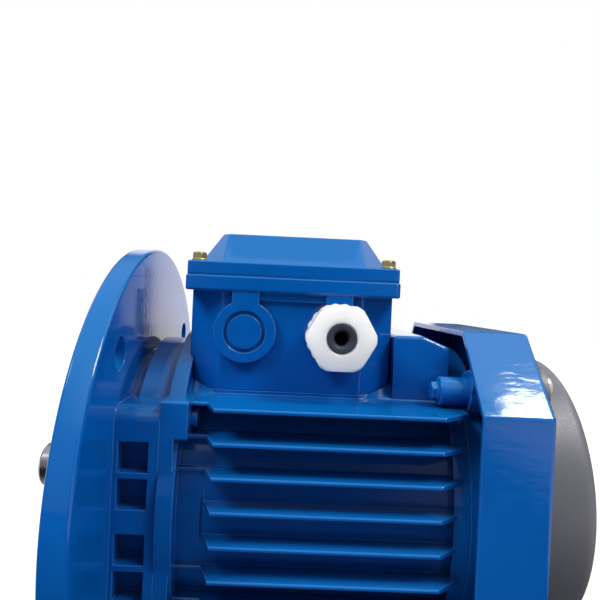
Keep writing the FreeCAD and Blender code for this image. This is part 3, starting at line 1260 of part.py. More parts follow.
def rotor():
    """Rotor core and its cast end rings with vanes."""
    core = new_body("rotor_core")
    bore = "(rotor_seat_radius + fit)"
    turn(core, "core", [rectangle(STATOR_START, bore, STATOR_END, "rotor_radius")])
    rings = new_body("rotor_end_rings")
    front = f"({STATOR_START} - end_ring_width)"
    back = f"({STATOR_END} + end_ring_width)"
    turn(rings, "rings", [rectangle(front, "end_ring_inner", STATOR_START, END_RING),
                          rectangle(STATOR_END, "end_ring_inner", back, END_RING)])
    vanes = []
    for name, start in (("front", f"({front} - vane_length)"), ("back", back)):
        outline = new_sketch(rings, f"{name}_vane_outline", "YZ_Plane", start)
        draw_outline(outline, rectangle("-vane_thickness / 2", "end_ring_inner + vane_ledge",
                                        "vane_thickness / 2", f"{END_RING} - vane_ledge"))
        vanes.append(extrude(rings, f"{name}_vane", outline, "vane_length"))
    polar(rings, "vanes", vanes, ROTOR_VANES)


def ball_bearing(prefix, start):
    """Deep-groove bearing: outer and inner ring, a set of balls and their cage."""
    middle = f"({start} + bearing_width / 2)"
    race = "(ball_radius + ball_play)"
    rings = (("outer", "(bearing_outer_radius - race_wall)", "bearing_outer_radius"),
             ("inner", "(bearing_bore_radius + fit)", "(bearing_bore_radius + race_wall)"))
    for name, inner, outer in rings:
        ring = new_body(f"{prefix}_bearing_{name}")
        turn(ring, "ring", [rectangle(start, inner, f"{start} + bearing_width", outer)])
        track = new_sketch(ring, "track_outline", "XZ_Plane")
        draw_circle(track, middle, BALL_CIRCLE, race)
        revolve(ring, "track", track, cut=True)
    balls = []
    pockets = []
    for index in range(BALL_COUNT):
        angle = 360 * index / BALL_COUNT
        for name, radius, store in (("ball", "ball_radius", balls), ("pocket", race, pockets)):
            ball = doc.addObject("Part::Sphere", f"{prefix}_{name}_{index}")
            bind(ball, Radius=radius, Placement__Base__x=middle,
                 Placement__Base__y=f"{BALL_CIRCLE} * cos({angle})",
                 Placement__Base__z=f"{BALL_CIRCLE} * sin({angle})")
            store.append(ball)
    group(f"{prefix}_bearing_balls", balls)
    band = doc.addObject("PartDesign::Body", f"{prefix}_cage_band")
    half = f"({race} + cage_rim)"
    turn(band, "band", [rectangle(f"{middle} - {half}", f"{BALL_CIRCLE} - cage_thickness / 2",
                                  f"{middle} + {half}", f"{BALL_CIRCLE} + cage_thickness / 2")])
    pieces.append(subtract(f"{prefix}_bearing_cage", band, fuse(f"{prefix}_ball_room", pockets)))


def bearing_trim():
    """Wave spring behind the fan-end bearing and the lip seal on the drive end."""
    spring = new_body("wave_spring")
    turn(spring, "spring", [rectangle(f"{FAN_BEARING} + bearing_width", "bearing_outer_radius - spring_width",
                                      SPRING_SEAT, "bearing_outer_radius - 0.5")])
    seal = new_body("shaft_seal")
    start = "(-spigot_height + seal_recess)"
    end = f"({start} + seal_width)"
    lip = "(bearing_bore_radius + seal_play)"
    turn(seal, "seal", [[
        (start, lip), (start, "seal_radius"), (end, "seal_radius"), (end, "seal_radius - seal_wall"),
        (f"{start} + seal_wall", "seal_radius - seal_wall"), (f"{start} + seal_wall", f"{lip} + seal_wall"),
        (f"{end} - seal_wall", f"{lip} + seal_wall"), (f"{end} - seal_wall", lip)]])


def cooling_fan():
    """Radial fan on the shaft's tail, with the circlip that keeps it."""
    body = new_body("cooling_fan")
    bore = "(fan_seat_radius + fit)"
    disc_end = f"({FAN_START} + fan_disc_thickness)"
    turn(body, "hub_and_disc", [[
        (FAN_START, bore), (FAN_START, "fan_disc_radius"), (disc_end, "fan_disc_radius"),
        (disc_end, "fan_hub_radius"), (FAN_END, "fan_hub_radius"), (FAN_END, bore)]])
    blade = new_sketch(body, "blade_outline", "XZ_Plane", "-fan_blade_thickness / 2")
    blade_end = f"({FAN_START} + fan_blade_length)"
    draw_outline(blade, [(FAN_START, f"fan_hub_radius - {OVERRUN}"), (FAN_START, "fan_disc_radius"),
                         (disc_end, FAN_RADIUS), (blade_end, FAN_RADIUS),
                         (f"{FAN_END} - fan_disc_thickness", f"fan_hub_radius - {OVERRUN}")])
    first = extrude(body, "blade", blade, "fan_blade_thickness")
    polar(body, "blades", [first], FAN_BLADES)
    clip = new_body("fan_circlip")
    start = f"({FAN_END} + 2 * fit)"
    turn(clip, "clip", [rectangle(start, "fan_seat_radius - circlip_depth + fit",
                                  f"{start} + circlip_thickness", "fan_seat_radius + circlip_rise")])


def check_and_write():
    """Stop on any failed object or bad shape, then write one file for each sub-part."""
    doc.recompute()
    failed = [item.Label for item in doc.Objects if {"Invalid", "Error"} & set(item.State)]
    if failed:
        raise RuntimeError(f"failed objects: {failed}")
    bad = [piece.Label for piece in pieces if piece.Shape.isNull() or not piece.Shape.isValid()]
    if bad:
        raise RuntimeError(f"bad shapes: {bad}")
    os.makedirs("parts", exist_ok=True)
    for piece in pieces:
        piece.Shape.exportStep(os.path.join("parts", f"{piece.Label}.step"))
        print(piece.Label, len(piece.Shape.Solids), round(piece.Shape.Volume, 1))


drive_end_shield()
stator_frame()
rear_end_shield()
fan_cowl()
fan_guard()
housing_fasteners()
terminal_box()
terminal_lid()
lid_gasket()
box_fasteners()
terminal_board()
cable_gland()
stator()
shaft()
rotor()
ball_bearing("drive", "bearing_setback")
ball_bearing("fan", FAN_BEARING)
bearing_trim()
cooling_fan()
check_and_write()
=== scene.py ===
"""Looks of a finned flange motor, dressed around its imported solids."""

import json
import logging
import math
from dataclasses import dataclass
from enum import Enum

import bmesh
import bpy
from mathutils import Matrix, Vector


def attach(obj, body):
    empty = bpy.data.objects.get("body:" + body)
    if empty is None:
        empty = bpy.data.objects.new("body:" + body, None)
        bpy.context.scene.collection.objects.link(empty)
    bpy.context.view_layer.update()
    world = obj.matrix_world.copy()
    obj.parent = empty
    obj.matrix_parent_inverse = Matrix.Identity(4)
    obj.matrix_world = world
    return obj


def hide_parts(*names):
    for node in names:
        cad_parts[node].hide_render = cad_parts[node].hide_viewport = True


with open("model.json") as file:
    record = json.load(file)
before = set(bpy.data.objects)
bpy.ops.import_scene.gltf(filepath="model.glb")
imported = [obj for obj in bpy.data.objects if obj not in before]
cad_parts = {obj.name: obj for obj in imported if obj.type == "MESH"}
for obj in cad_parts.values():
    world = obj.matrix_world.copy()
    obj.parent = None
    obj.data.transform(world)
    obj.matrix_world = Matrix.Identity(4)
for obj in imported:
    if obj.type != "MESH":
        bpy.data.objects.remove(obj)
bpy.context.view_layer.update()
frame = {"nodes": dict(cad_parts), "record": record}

LOG = logging.getLogger("motor")
Colour = tuple[float, float, float]
Point = tuple[float, float, float]
Span = tuple[float, float]
Outline = tuple[tuple[float, float], ...]
Socket = bpy.types.NodeSocket
Outputs = bpy.types.NodeOutputs
MM = 0.001
ORIGIN: Point = (0.0, 0.0, 0.0)
UP = Vector((0.0, 0.0, 1.0))
FRONT = Vector((0.0, -1.0, 0.0))
FANWARD = Vector((1.0, 0.0, 0.0))
CORNERS = ((-1, -1), (1, -1), (1, 1), (-1, 1))
HEXAGON = 6
WHITE: Colour = (1.0, 1.0, 1.0)
BLACK: Colour = (0.0, 0.0, 0.0)


class Body(Enum):
    """The bodies that pieces move with."""

    HOUSING = "housing"
    ROTOR = "rotor"
    DRIVE_CAGE = "drive_cage"
    FAN_CAGE = "fan_cage"


class Join(Enum):
    """How two forms make one."""

    COMMON = "INTERSECT"
    CUT = "DIFFERENCE"
    BOTH = "UNION"


class Rounded(Enum):
    """What a round is laid on."""

    POINTS = "VERTICES"
    EDGES = "EDGES"


class Slot(Enum):
    """The material slots of the record."""

    CASTING = "blue_casting"
    SHEET = "blue_sheet"
    GUARD = "guard_plastic"
    NYLON = "white_nylon"
    RUBBER = "dark_rubber"
    STEEL = "bright_steel"
    BRASS = "brass"
    LAMINATION = "lamination"
    COPPER = "copper_winding"
    ALUMINIUM = "cast_aluminium"
    MOULDED = "moulded_black"


class Wiring:
    """Adds and joins the nodes of one material, group or world."""

    MIX_INPUTS = (0, 6, 7)
    MIX_RESULT = 2

    def __init__(self, tree: bpy.types.NodeTree) -> None:
        """Keep the tree that the nodes go into."""
        self.tree = tree

    def node(self, kind: str, feeds: dict | None = None, **settings: object) -> bpy.types.Node:
        """Add one node.

        Args:
            kind: Blender's name of the node type.
            feeds: values or sockets for its inputs, by name or number.
            settings: the node's own properties.

        Returns:
            The new node.
        """
        made = self.tree.nodes.new(kind)
        for name, value in settings.items():
            setattr(made, name, value)
        for socket, value in (feeds or {}).items():
            self.feed(made, socket, value)
        return made

    def feed(self, node: bpy.types.Node, socket: str | int, value: object) -> None:
        """Join a socket to an input, or set the input to a constant.

        Args:
            node: the node that is fed.
            socket: its input, by name or number.
            value: the socket or the constant.
        """
        target = node.inputs[socket]
        if isinstance(value, Socket):
            self.tree.links.new(value, target)
        elif isinstance(value, tuple) and target.type == "RGBA":
            target.default_value = (*value, 1.0)
        else:
            target.default_value = value

    def math(self, operation: str, *values: object, clamp: bool = False) -> Socket:
        """Add a sum on one to three values and return its result."""
        return self.node("ShaderNodeMath", dict(enumerate(values)), operation=operation,
                         use_clamp=clamp).outputs[0]

    def product(self, first: object, *others: object) -> Socket:
        """Multiply several shares.

        Args:
            first: a number or socket.
            others: what it is multiplied with.

        Returns:
            The product.
        """
        for other in others:
            first = self.math("MULTIPLY", first, other)
        return first

    def mix(self, share: object, first: object, second: object) -> Socket:
        """Mix two colours by a share of the second and return the result."""
        feeds = dict(zip(self.MIX_INPUTS, (share, first, second)))
        return self.node("ShaderNodeMix", feeds, data_type="RGBA").outputs[self.MIX_RESULT]

    def spread(self, value: object, low: float, high: float, to_low: object = 0.0,
               to_high: object = 1.0) -> Socket:
        """Map a value smoothly from one range to another and return the result."""
        feeds = dict(enumerate((value, low, high, to_low, to_high)))
        return self.node("ShaderNodeMapRange", feeds, interpolation_type="SMOOTHSTEP").outputs[0]

    def noise(self, vector: Socket, scale: object, detail: float, roughness: float = 0.5) -> Socket:
        """Add a noise pattern and return its value."""
        return self.node("ShaderNodeTexNoise", {"Vector": vector, "Scale": scale, "Detail": detail,
                                                "Roughness": roughness}).outputs[0]

    def stretched(self, vector: Socket, scale: Point, turn: Point = ORIGIN) -> Socket:
        """Stretch and turn coordinates and return the new ones."""
        return self.node("ShaderNodeMapping", {"Vector": vector, "Rotation": turn,
                                               "Scale": scale}).outputs[0]

    def axes(self, vector: Socket) -> Outputs:
        """Return a vector's parts along X, Y and Z."""
        return self.node("ShaderNodeSeparateXYZ", {0: vector}).outputs

    def length(self, vector: Socket) -> Socket:
        """Return a vector's length."""
        return self.node("ShaderNodeVectorMath", {0: vector}, operation="LENGTH").outputs["Value"]


class EffectGroup(Wiring):
    """A shader node group that several finishes share."""

    def __init__(self, name: str, inputs: dict[str, tuple], *outputs: str) -> None:
        """Make the group with its named sockets.

        Args:
            name: the group's name.
            inputs: each input's socket type and default.
            outputs: the outputs' names; Colour and Normal are of that kind, the others numbers.
        """
        super().__init__(bpy.data.node_groups.new(name, "ShaderNodeTree"))
        sockets = self.tree.interface
        for label, (kind, default) in inputs.items():
            socket = sockets.new_socket(name=label, in_out="INPUT", socket_type=kind)
            if default is not None:
                socket.default_value = default
        kinds = {"Colour": "NodeSocketColor", "Normal": "NodeSocketVector"}
        for label in outputs:
            kind = kinds.get(label, "NodeSocketFloat")
            sockets.new_socket(name=label, in_out="OUTPUT", socket_type=kind)
        self.given = self.node("NodeGroupInput").outputs
        self.result = self.node("NodeGroupOutput")

    def put(self, label: str, value: Socket) -> None:
        """Join a value to a named output."""
        self.feed(self.result, label, value)


VECTOR = ("NodeSocketVector", None)


def number(default: float) -> tuple[str, float]:
    """Describe a plain number input of a group."""
    return ("NodeSocketFloat", default)


def tint(level: float) -> tuple[str, tuple]:
    """Describe a colour input of a group, with a grey as its default."""
    return ("NodeSocketColor", (level, level, level, 1.0))


class Effects:
    """The shared effects, each built once."""

    FINE_RATIO = 6.3
    FINE_SHARE = 0.25
    DEEP_SPAN: Span = (0.5, 0.3)
    PALE_SPAN: Span = (0.5, 0.7)
    GRAIN_RATIO = 4.7
    RAY_SAMPLES = 6
    RUB_TURN: Point = (0.5, 0.3, 0.8)
    RUB_STRETCH: Point = (1.0, 0.12, 1.0)
    RUB_SPAN: Span = (0.6, 0.75)
    RUB_AREA_RATIO = 0.2
    RUB_AREA_SPAN: Span = (0.5, 0.65)
    CORNER_SPAN: Span = (0.985, 0.85)

    def __init__(self) -> None:
        """Build every group."""
        self.drift = self._drift()
        self.peel = self._peel()
        self.recess = self._recess()
        self.scuff = self._scuff()
        self.edge = self._edge()
        self.upward = self._upward()

    def _drift(self) -> EffectGroup:
        """Build the slow change of colour over a surface.

        Returns:
            The group.
        """
        group = EffectGroup("colour_drift", {
            "Vector": VECTOR, "Colour": tint(0.5), "Deep": tint(0.4), "Pale": tint(0.6),
            "Scale": number(20.0), "Share": number(0.5)}, "Colour", "Patch")
        given = group.given
        broad = group.noise(given["Vector"], given["Scale"], detail=3.0, roughness=0.55)
        fine = group.noise(given["Vector"], group.product(given["Scale"], self.FINE_RATIO), detail=2.0)
        patch = group.math("ADD", group.product(broad, 1.0 - self.FINE_SHARE),
                           group.product(fine, self.FINE_SHARE))
        low = group.product(group.spread(patch, *self.DEEP_SPAN), given["Share"])
        high = group.product(group.spread(patch, *self.PALE_SPAN), given["Share"])
        darker = group.mix(low, given["Colour"], given["Deep"])
        group.put("Colour", group.mix(high, darker, given["Pale"]))
        group.put("Patch", patch)
        return group

    def _peel(self) -> EffectGroup:
        """Build the fine waviness of sprayed or moulded surfaces.

        Returns:
            The group.
        """
        group = EffectGroup("surface_peel", {"Vector": VECTOR, "Scale": number(500.0),
                                             "Fine": number(0.3)}, "Height")
        given = group.given
        wave = group.noise(given["Vector"], given["Scale"], detail=1.0)
        grain = group.noise(given["Vector"], group.product(given["Scale"], self.GRAIN_RATIO), detail=2.0)
        group.put("Height", group.math("MULTIPLY_ADD", grain, given["Fine"], wave))
        return group

    def _recess(self) -> EffectGroup:
        """Build the mask of corners and gaps that see little of the room, where the finishes paint shade.

        Returns:
            The group.
        """
        group = EffectGroup("recess_mask", {"Reach": number(0.008), "Low": number(0.25),
                                            "High": number(0.75)}, "Mask")
        given = group.given
        open_sky = group.node("ShaderNodeAmbientOcclusion", {"Distance": given["Reach"]},
                              samples=self.RAY_SAMPLES).outputs["AO"]
        group.put("Mask", group.spread(open_sky, given["High"], given["Low"]))
        return group

    def _scuff(self) -> EffectGroup:
        """Build sparse short rub marks.

        Returns:
            The group.
        """
        group = EffectGroup("rub_marks", {"Vector": VECTOR, "Scale": number(60.0),
                                          "Share": number(0.3)}, "Mask")
        given = group.given
        bent = group.stretched(given["Vector"], self.RUB_STRETCH, self.RUB_TURN)
        marks = group.noise(bent, given["Scale"], detail=4.0, roughness=0.6)
        area = group.noise(given["Vector"], group.product(given["Scale"], self.RUB_AREA_RATIO), detail=1.0)
        both = group.product(group.spread(marks, *self.RUB_SPAN), group.spread(area, *self.RUB_AREA_SPAN))
        group.put("Mask", group.math("MULTIPLY", both, given["Share"], clamp=True))
        return group

    def _edge(self) -> EffectGroup:
        """Build the small round on every corner, and a mask of those corners.

        Returns:
            The group.
        """
        group = EffectGroup("edge_round", {"Radius": number(0.0005)}, "Normal", "Mask")
        rounded = group.node("ShaderNodeBevel", {"Radius": group.given["Radius"]},
                             samples=self.RAY_SAMPLES).outputs[0]
        plain = group.node("ShaderNodeNewGeometry").outputs["Normal"]
        alike = group.node("ShaderNodeVectorMath", {0: rounded, 1: plain}, operation="DOT_PRODUCT")
        group.put("Normal", rounded)
        group.put("Mask", group.spread(alike.outputs["Value"], *self.CORNER_SPAN))
        return group

    def _upward(self) -> EffectGroup:
        """Build the mask of faces that look upwards, where the finishes paint a lighter or darker top for the
        light that falls from above.

        Returns:
            The group.
        """
        group = EffectGroup("upward_mask", {"Low": number(0.15), "High": number(0.7)}, "Mask")
        facing = group.node("ShaderNodeNewGeometry").outputs["Normal"]
        group.put("Mask", group.spread(group.axes(facing)["Z"], group.given["Low"], group.given["High"]))
        return group


EFFECTS = Effects()
PATTERN_SPAN: Span = (0.3, 0.7)


@dataclass(frozen=True)
class Tone:
    """How a colour drifts over a surface."""

    deep: float
    pale: float
    scale: float
    share: float


@dataclass(frozen=True)
class Gap:
    """How far corners and gaps take on another colour."""

    reach: float
    low: float
    high: float
    share: float


def scaled(colour: Colour, factor: float) -> Colour:
    """Return a colour made darker or lighter."""
    return tuple(min(1.0, channel * factor) for channel in colour)


class Coating(Wiring):
    """One material in the making, with its shader and its object coordinates."""

    def __init__(self, name: str) -> None:
        """Start an empty material.

        Args:
            name: the material's name.
        """
        self.material = bpy.data.materials.new(name)
        self.material.use_nodes = True
        super().__init__(self.material.node_tree)
        self.tree.nodes.clear()
        self.place = self.node("ShaderNodeTexCoord").outputs["Object"]
        self.shader = self.node("ShaderNodeBsdfPrincipled")
        self.node("ShaderNodeOutputMaterial", {"Surface": self.shader.outputs[0]})

    def effect(self, group: EffectGroup, **feeds: object) -> Outputs:
        """Place a shared effect and return its outputs."""
        return self.node("ShaderNodeGroup", feeds, node_tree=group.tree).outputs

    def drift(self, colour: Colour, tone: Tone) -> Outputs:
        """Let a colour drift over the surface and return it with its pattern."""
        return self.effect(EFFECTS.drift, Vector=self.place, Colour=colour,
                           Deep=scaled(colour, tone.deep), Pale=scaled(colour, tone.pale),
                           Scale=tone.scale, Share=tone.share)

    def gaps(self, gap: Gap) -> Socket:
        """Return the mask of corners and gaps."""
        return self.effect(EFFECTS.recess, Reach=gap.reach, Low=gap.low, High=gap.high)["Mask"]

    def upward(self, span: Span) -> Socket:
        """Return the mask of faces that look upwards."""
        return self.effect(EFFECTS.upward, Low=span[0], High=span[1])["Mask"]

    def over(self, base: Socket, mask: Socket, share: float, colour: object) -> Socket:
        """Lay a share of a colour over another, where a mask says, and return both."""
        return self.mix(self.product(mask, share), base, colour)

    def bump(self, height: Socket, strength: float, depth: float, normal: Socket) -> None:
        """Give the shader a bump of a depth in metres, over an eased normal."""
        node = self.node("ShaderNodeBump", {"Strength": strength, "Distance": depth, "Height": height,
                                            "Normal": normal})
        self.feed(self.shader, "Normal", node.outputs[0])

    def shade(self, **feeds: object) -> None:
        """Set or join inputs of the shader, with spaces written as underscores."""
        for label, value in feeds.items():
            self.feed(self.shader, label.replace("_", " "), value)


@dataclass(frozen=True)
class Enamel:
    """Sprayed gloss enamel over metal."""

    name: str
    colour: Colour
    shadow: Colour
    tone: Tone = Tone(deep=0.82, pale=1.14, scale=18.0, share=0.6)
    # painted shade in gaps between fins and parts: the gap mask mixes in the shadow colour
    gap: Gap = Gap(reach=0.009, low=0.08, high=0.5, share=0.6)
    # painted shade: a deeper blue over the broad mask of inside corners
    corner: Gap = Gap(reach=0.03, low=0.2, high=0.75, share=0.4)
    painted_corner_shade: Colour = (0.006, 0.035, 0.27)
    # painted top light: faces that look upwards take a paler, greener blue for the light that falls on them
    painted_top_light: Colour = (0.0015, 0.114, 0.345)
    top_light_span: Span = (0.1, 0.65)
    top_light_share: float = 0.9
    # painted shade tint: violet patches within the painted gap shade
    shade_tint: Colour = (0.05, 0.011, 0.12)
    shade_tint_scale: float = 26.0
    shade_tint_span: Span = (0.5, 0.62)
    edge: float = 0.0006
    # painted highlight on proud edges, where the paint is also thinner
    thin: Colour = (0.05, 0.26, 0.62)
    thin_and_highlight_share: float = 0.5
    rub_scale: float = 90.0
    rub_share: float = 0.25
    rub_pale: float = 1.5
    gloss: float = 0.075
    gloss_span: Span = (-0.02, 0.05)
    coat: float = 0.25
    coat_gloss: float = 0.06
    stretch: Point = (1.0, 1.0, 1.0)
    peel_scale: float = 420.0
    peel_fine: float = 0.25
    peel_depth: float = 0.035
    peel_height: float = 0.0006

    def material(self) -> bpy.types.Material:
        """Build the enamel with its colour drift, painted top light, painted shade in corners and gaps,
        painted edge highlight, rub marks and orange peel.

        Returns:
            The material.
        """
        paint = Coating(self.name)
        drift = paint.drift(self.colour, self.tone)
        recess = paint.gaps(self.gap)
        # painted top light on faces that look upwards
        colour = paint.over(drift["Colour"], paint.upward(self.top_light_span), self.top_light_share, self.painted_top_light)
        # painted shade in inside corners
        colour = paint.over(colour, paint.gaps(self.corner), self.corner.share, self.painted_corner_shade)
        # painted shade in gaps, with violet patches of painted tint
        shade_tint = paint.spread(paint.noise(paint.place, self.shade_tint_scale, detail=1.0), *self.shade_tint_span)
        shadow = paint.mix(shade_tint, self.shadow, self.shade_tint)
        colour = paint.over(colour, recess, self.gap.share, shadow)
        edge = paint.effect(EFFECTS.edge, Radius=self.edge)
        # painted highlight on proud edges, with the paint thinner there too
        proud = paint.product(edge["Mask"], paint.math("SUBTRACT", 1.0, recess))
        colour = paint.over(colour, proud, self.thin_and_highlight_share, self.thin)
        marks = paint.effect(EFFECTS.scuff, Vector=paint.place, Scale=self.rub_scale, Share=self.rub_share)
        colour = paint.mix(marks["Mask"], colour, scaled(self.colour, self.rub_pale))
        rough = paint.spread(drift["Patch"], *PATTERN_SPAN, *(self.gloss + step for step in self.gloss_span))
        peel = paint.effect(EFFECTS.peel, Vector=paint.stretched(paint.place, self.stretch),
                            Scale=self.peel_scale, Fine=self.peel_fine)
        paint.bump(peel["Height"], self.peel_depth, self.peel_height, edge["Normal"])
        paint.shade(Base_Color=colour, Roughness=rough, Coat_Weight=self.coat,
                    Coat_Roughness=self.coat_gloss)
        return paint.material


@dataclass(frozen=True)
class Moulding:
    """Moulded plastic or rubber with a fine grain."""

    name: str
    colour: Colour
    roughness: float
    sheen_span: Span = (-0.06, 0.06)
    tone: Tone = Tone(deep=0.88, pale=1.08, scale=45.0, share=0.6)
    gap: Gap = Gap(reach=0.005, low=0.15, high=0.6, share=0.45)
    gap_shade: float = 0.55
    # painted shade: faces that look upwards are darkened against the light from above
    painted_top_shade: float = 0.0
    top_shade_span: Span = (0.0, 0.5)
    top_shade_level: float = 0.5
    grain_scale: float = 900.0
    grain_fine: float = 0.5
    grain_span: Span = (0.3, 0.9)
    grain_depth: float = 0.15
    grain_height: float = 0.0003
    edge: float = 0.0004
    translucence: float = 0.0
    light_depth: float = 0.006

    def material(self) -> bpy.types.Material:
        """Build the moulding with its grain, its painted shade in corners and its painted shade on faces that
        look upwards.

        Returns:
            The material.
        """
        skin = Coating(self.name)
        drift = skin.drift(self.colour, self.tone)
        colour = skin.over(drift["Colour"], skin.gaps(self.gap), self.gap.share,
                           scaled(self.colour, self.gap_shade))
        # painted shade on faces that look upwards
        colour = skin.over(colour, skin.upward(self.top_shade_span), self.painted_top_shade,
                           scaled(self.colour, self.top_shade_level))
        grain = skin.effect(EFFECTS.peel, Vector=skin.place, Scale=self.grain_scale, Fine=self.grain_fine)
        rough = skin.spread(grain["Height"], *self.grain_span,
                            *(self.roughness + step for step in self.sheen_span))
        edge = skin.effect(EFFECTS.edge, Radius=self.edge)
        skin.bump(grain["Height"], self.grain_depth, self.grain_height, edge["Normal"])
        skin.shade(Base_Color=colour, Roughness=rough, Subsurface_Weight=self.translucence,
                   Subsurface_Radius=WHITE, Subsurface_Scale=self.light_depth)
        return skin.material


@dataclass(frozen=True)
class Metal:
    """Bare or plated metal with turning marks or stacked sheets."""

    name: str
    colour: Colour
    roughness: float
    sheen_span: Span = (-0.08, 0.1)
    tone: Tone = Tone(deep=0.7, pale=1.15, scale=60.0, share=0.7)
    gap: Gap = Gap(reach=0.004, low=0.15, high=0.6, share=0.5)
    gap_shade: float = 0.35
    lines: float = 900.0
    along: Point = (1.0, 0.05, 0.05)
    depth: float = 0.1
    line_height: float = 0.0002
    edge: float = 0.0003
    # painted highlight: corners take a paler colour over the edge mask
    edge_share: float = 0.3
    edge_highlight_pale: float = 1.25
    metallic: float = 1.0

    def material(self) -> bpy.types.Material:
        """Build the metal with fine lines across one direction, a duller film, painted shade in gaps and
        painted highlight on its corners.

        Returns:
            The material.
        """
        metal = Coating(self.name)
        drift = metal.drift(self.colour, self.tone)
        ruled = metal.stretched(metal.place, self.along)
        lines = metal.noise(ruled, self.lines, detail=3.0, roughness=0.6)
        colour = metal.over(drift["Colour"], metal.gaps(self.gap), self.gap.share,
                            scaled(self.colour, self.gap_shade))
        rough = metal.spread(lines, *PATTERN_SPAN, *(self.roughness + step for step in self.sheen_span))
        edge = metal.effect(EFFECTS.edge, Radius=self.edge)
        # painted highlight on corners
        colour = metal.over(colour, edge["Mask"], self.edge_share, scaled(self.colour, self.edge_highlight_pale))
        metal.bump(lines, self.depth, self.line_height, edge["Normal"])
        metal.shade(Base_Color=colour, Roughness=rough, Metallic=self.metallic)
        return metal.material


@dataclass(frozen=True)
class Winding:
    """Varnished copper wire, wound in close turns."""

    name: str
    colour: Colour
    tone: Tone = Tone(deep=0.6, pale=1.3, scale=80.0, share=0.8)
    pitch: float = 5200.0
    depth: float = 0.5
    turn_height: float = 0.0003
    edge: float = 0.0012
    gloss_span: Span = (0.3, 0.45)
    metallic: float = 0.6
    varnish: float = 0.4

    def material(self) -> bpy.types.Material:
        """Build the wire bundle with its turns and varnish.

        Returns:
            The material.
        """
        wire = Coating(self.name)
        drift = wire.drift(self.colour, self.tone)
        turns = wire.math("SINE", wire.product(wire.length(wire.place), self.pitch))
        edge = wire.effect(EFFECTS.edge, Radius=self.edge)
        wire.bump(turns, self.depth, self.turn_height, edge["Normal"])
        rough = wire.spread(drift["Patch"], *PATTERN_SPAN, *self.gloss_span)
        wire.shade(Base_Color=drift["Colour"], Roughness=rough, Metallic=self.metallic,
                   Coat_Weight=self.varnish)
        return wire.material


# painted shade colour of the enamel's gaps
BLUE_SHADE: Colour = (0.006, 0.022, 0.1)
FINISHES = {
    Slot.CASTING: Enamel("blue_enamel_casting", (0.0008, 0.094, 0.385), BLUE_SHADE),
    Slot.SHEET: Enamel("blue_enamel_sheet", (0.0012, 0.096, 0.388), BLUE_SHADE, peel_scale=300.0,
                       peel_depth=0.13, gloss=0.07, stretch=(0.45, 1.0, 1.0)),
    Slot.GUARD: Moulding("grey_guard", (0.148, 0.147, 0.162), roughness=0.42),
    # the gland's upward faces take painted shade against the light from above
    Slot.NYLON: Moulding("white_gland", (0.92, 0.915, 0.912), roughness=0.34, grain_scale=600.0,
                         translucence=0.7, painted_top_shade=0.85),
    Slot.RUBBER: Moulding("dark_rubber", (0.03, 0.037, 0.058), roughness=0.5),
    Slot.STEEL: Metal("turned_steel", (0.6, 0.6, 0.61), roughness=0.27, lines=3200.0, depth=0.015),
    Slot.BRASS: Metal("plated_brass", (0.66, 0.56, 0.27), roughness=0.3, along=(0.05, 0.05, 1.0),
                      metallic=0.8),
    Slot.LAMINATION: Metal("stacked_sheet", (0.2, 0.2, 0.215), roughness=0.45, lines=2600.0, depth=0.3),
    Slot.COPPER: Winding("varnished_wire", (0.58, 0.22, 0.07)),
    Slot.ALUMINIUM: Metal("cast_aluminium", (0.7, 0.7, 0.71), roughness=0.5, lines=300.0,
                          along=(1.0, 1.0, 1.0)),
    Slot.MOULDED: Moulding("black_moulding", (0.022, 0.022, 0.025), roughness=0.45),
}
ZINC = Metal("pale_zinc", (0.8, 0.76, 0.68), roughness=0.36, metallic=0.35)
SPRAYED = Moulding("sprayed_gasket", (0.002, 0.09, 0.37), roughness=0.3)


class Paintbox:
    """Hands out the materials, each built once."""

    def __init__(self) -> None:
        """Build the material of every slot."""
        self.materials = {slot: finish.material() for slot, finish in FINISHES.items()}
        self.zinc = ZINC.material()
        self.sprayed = SPRAYED.material()

    def dress(self, piece: bpy.types.Object, slot: Slot) -> None:
        """Give a piece or node the material of a slot."""
        piece.data.materials.clear()
        piece.data.materials.append(self.materials[slot])

    @staticmethod
    def cover(piece: bpy.types.Object, coat: bpy.types.Material) -> None:
        """Give a piece a coat over the material of its slot."""
        piece.data.materials[0] = coat


PAINT = Paintbox()


def placed(name: str, data: bpy.types.ID) -> bpy.types.Object:
    """Put a mesh, lamp or camera into the scene.

    Args:
        name: the object's name.
        data: its mesh, lamp or camera.

    Returns:
        The new object.
    """
    made = bpy.data.objects.new(name, data)
    bpy.context.scene.collection.objects.link(made)
    return made


def merged(mesh: bmesh.types.BMesh, seam: float, sliver: float) -> None:
    """Merge points closer than a seam and drop what is thinner than a sliver."""
    bmesh.ops.remove_doubles(mesh, verts=mesh.verts, dist=seam)
    bmesh.ops.dissolve_degenerate(mesh, dist=sliver, edges=mesh.edges)


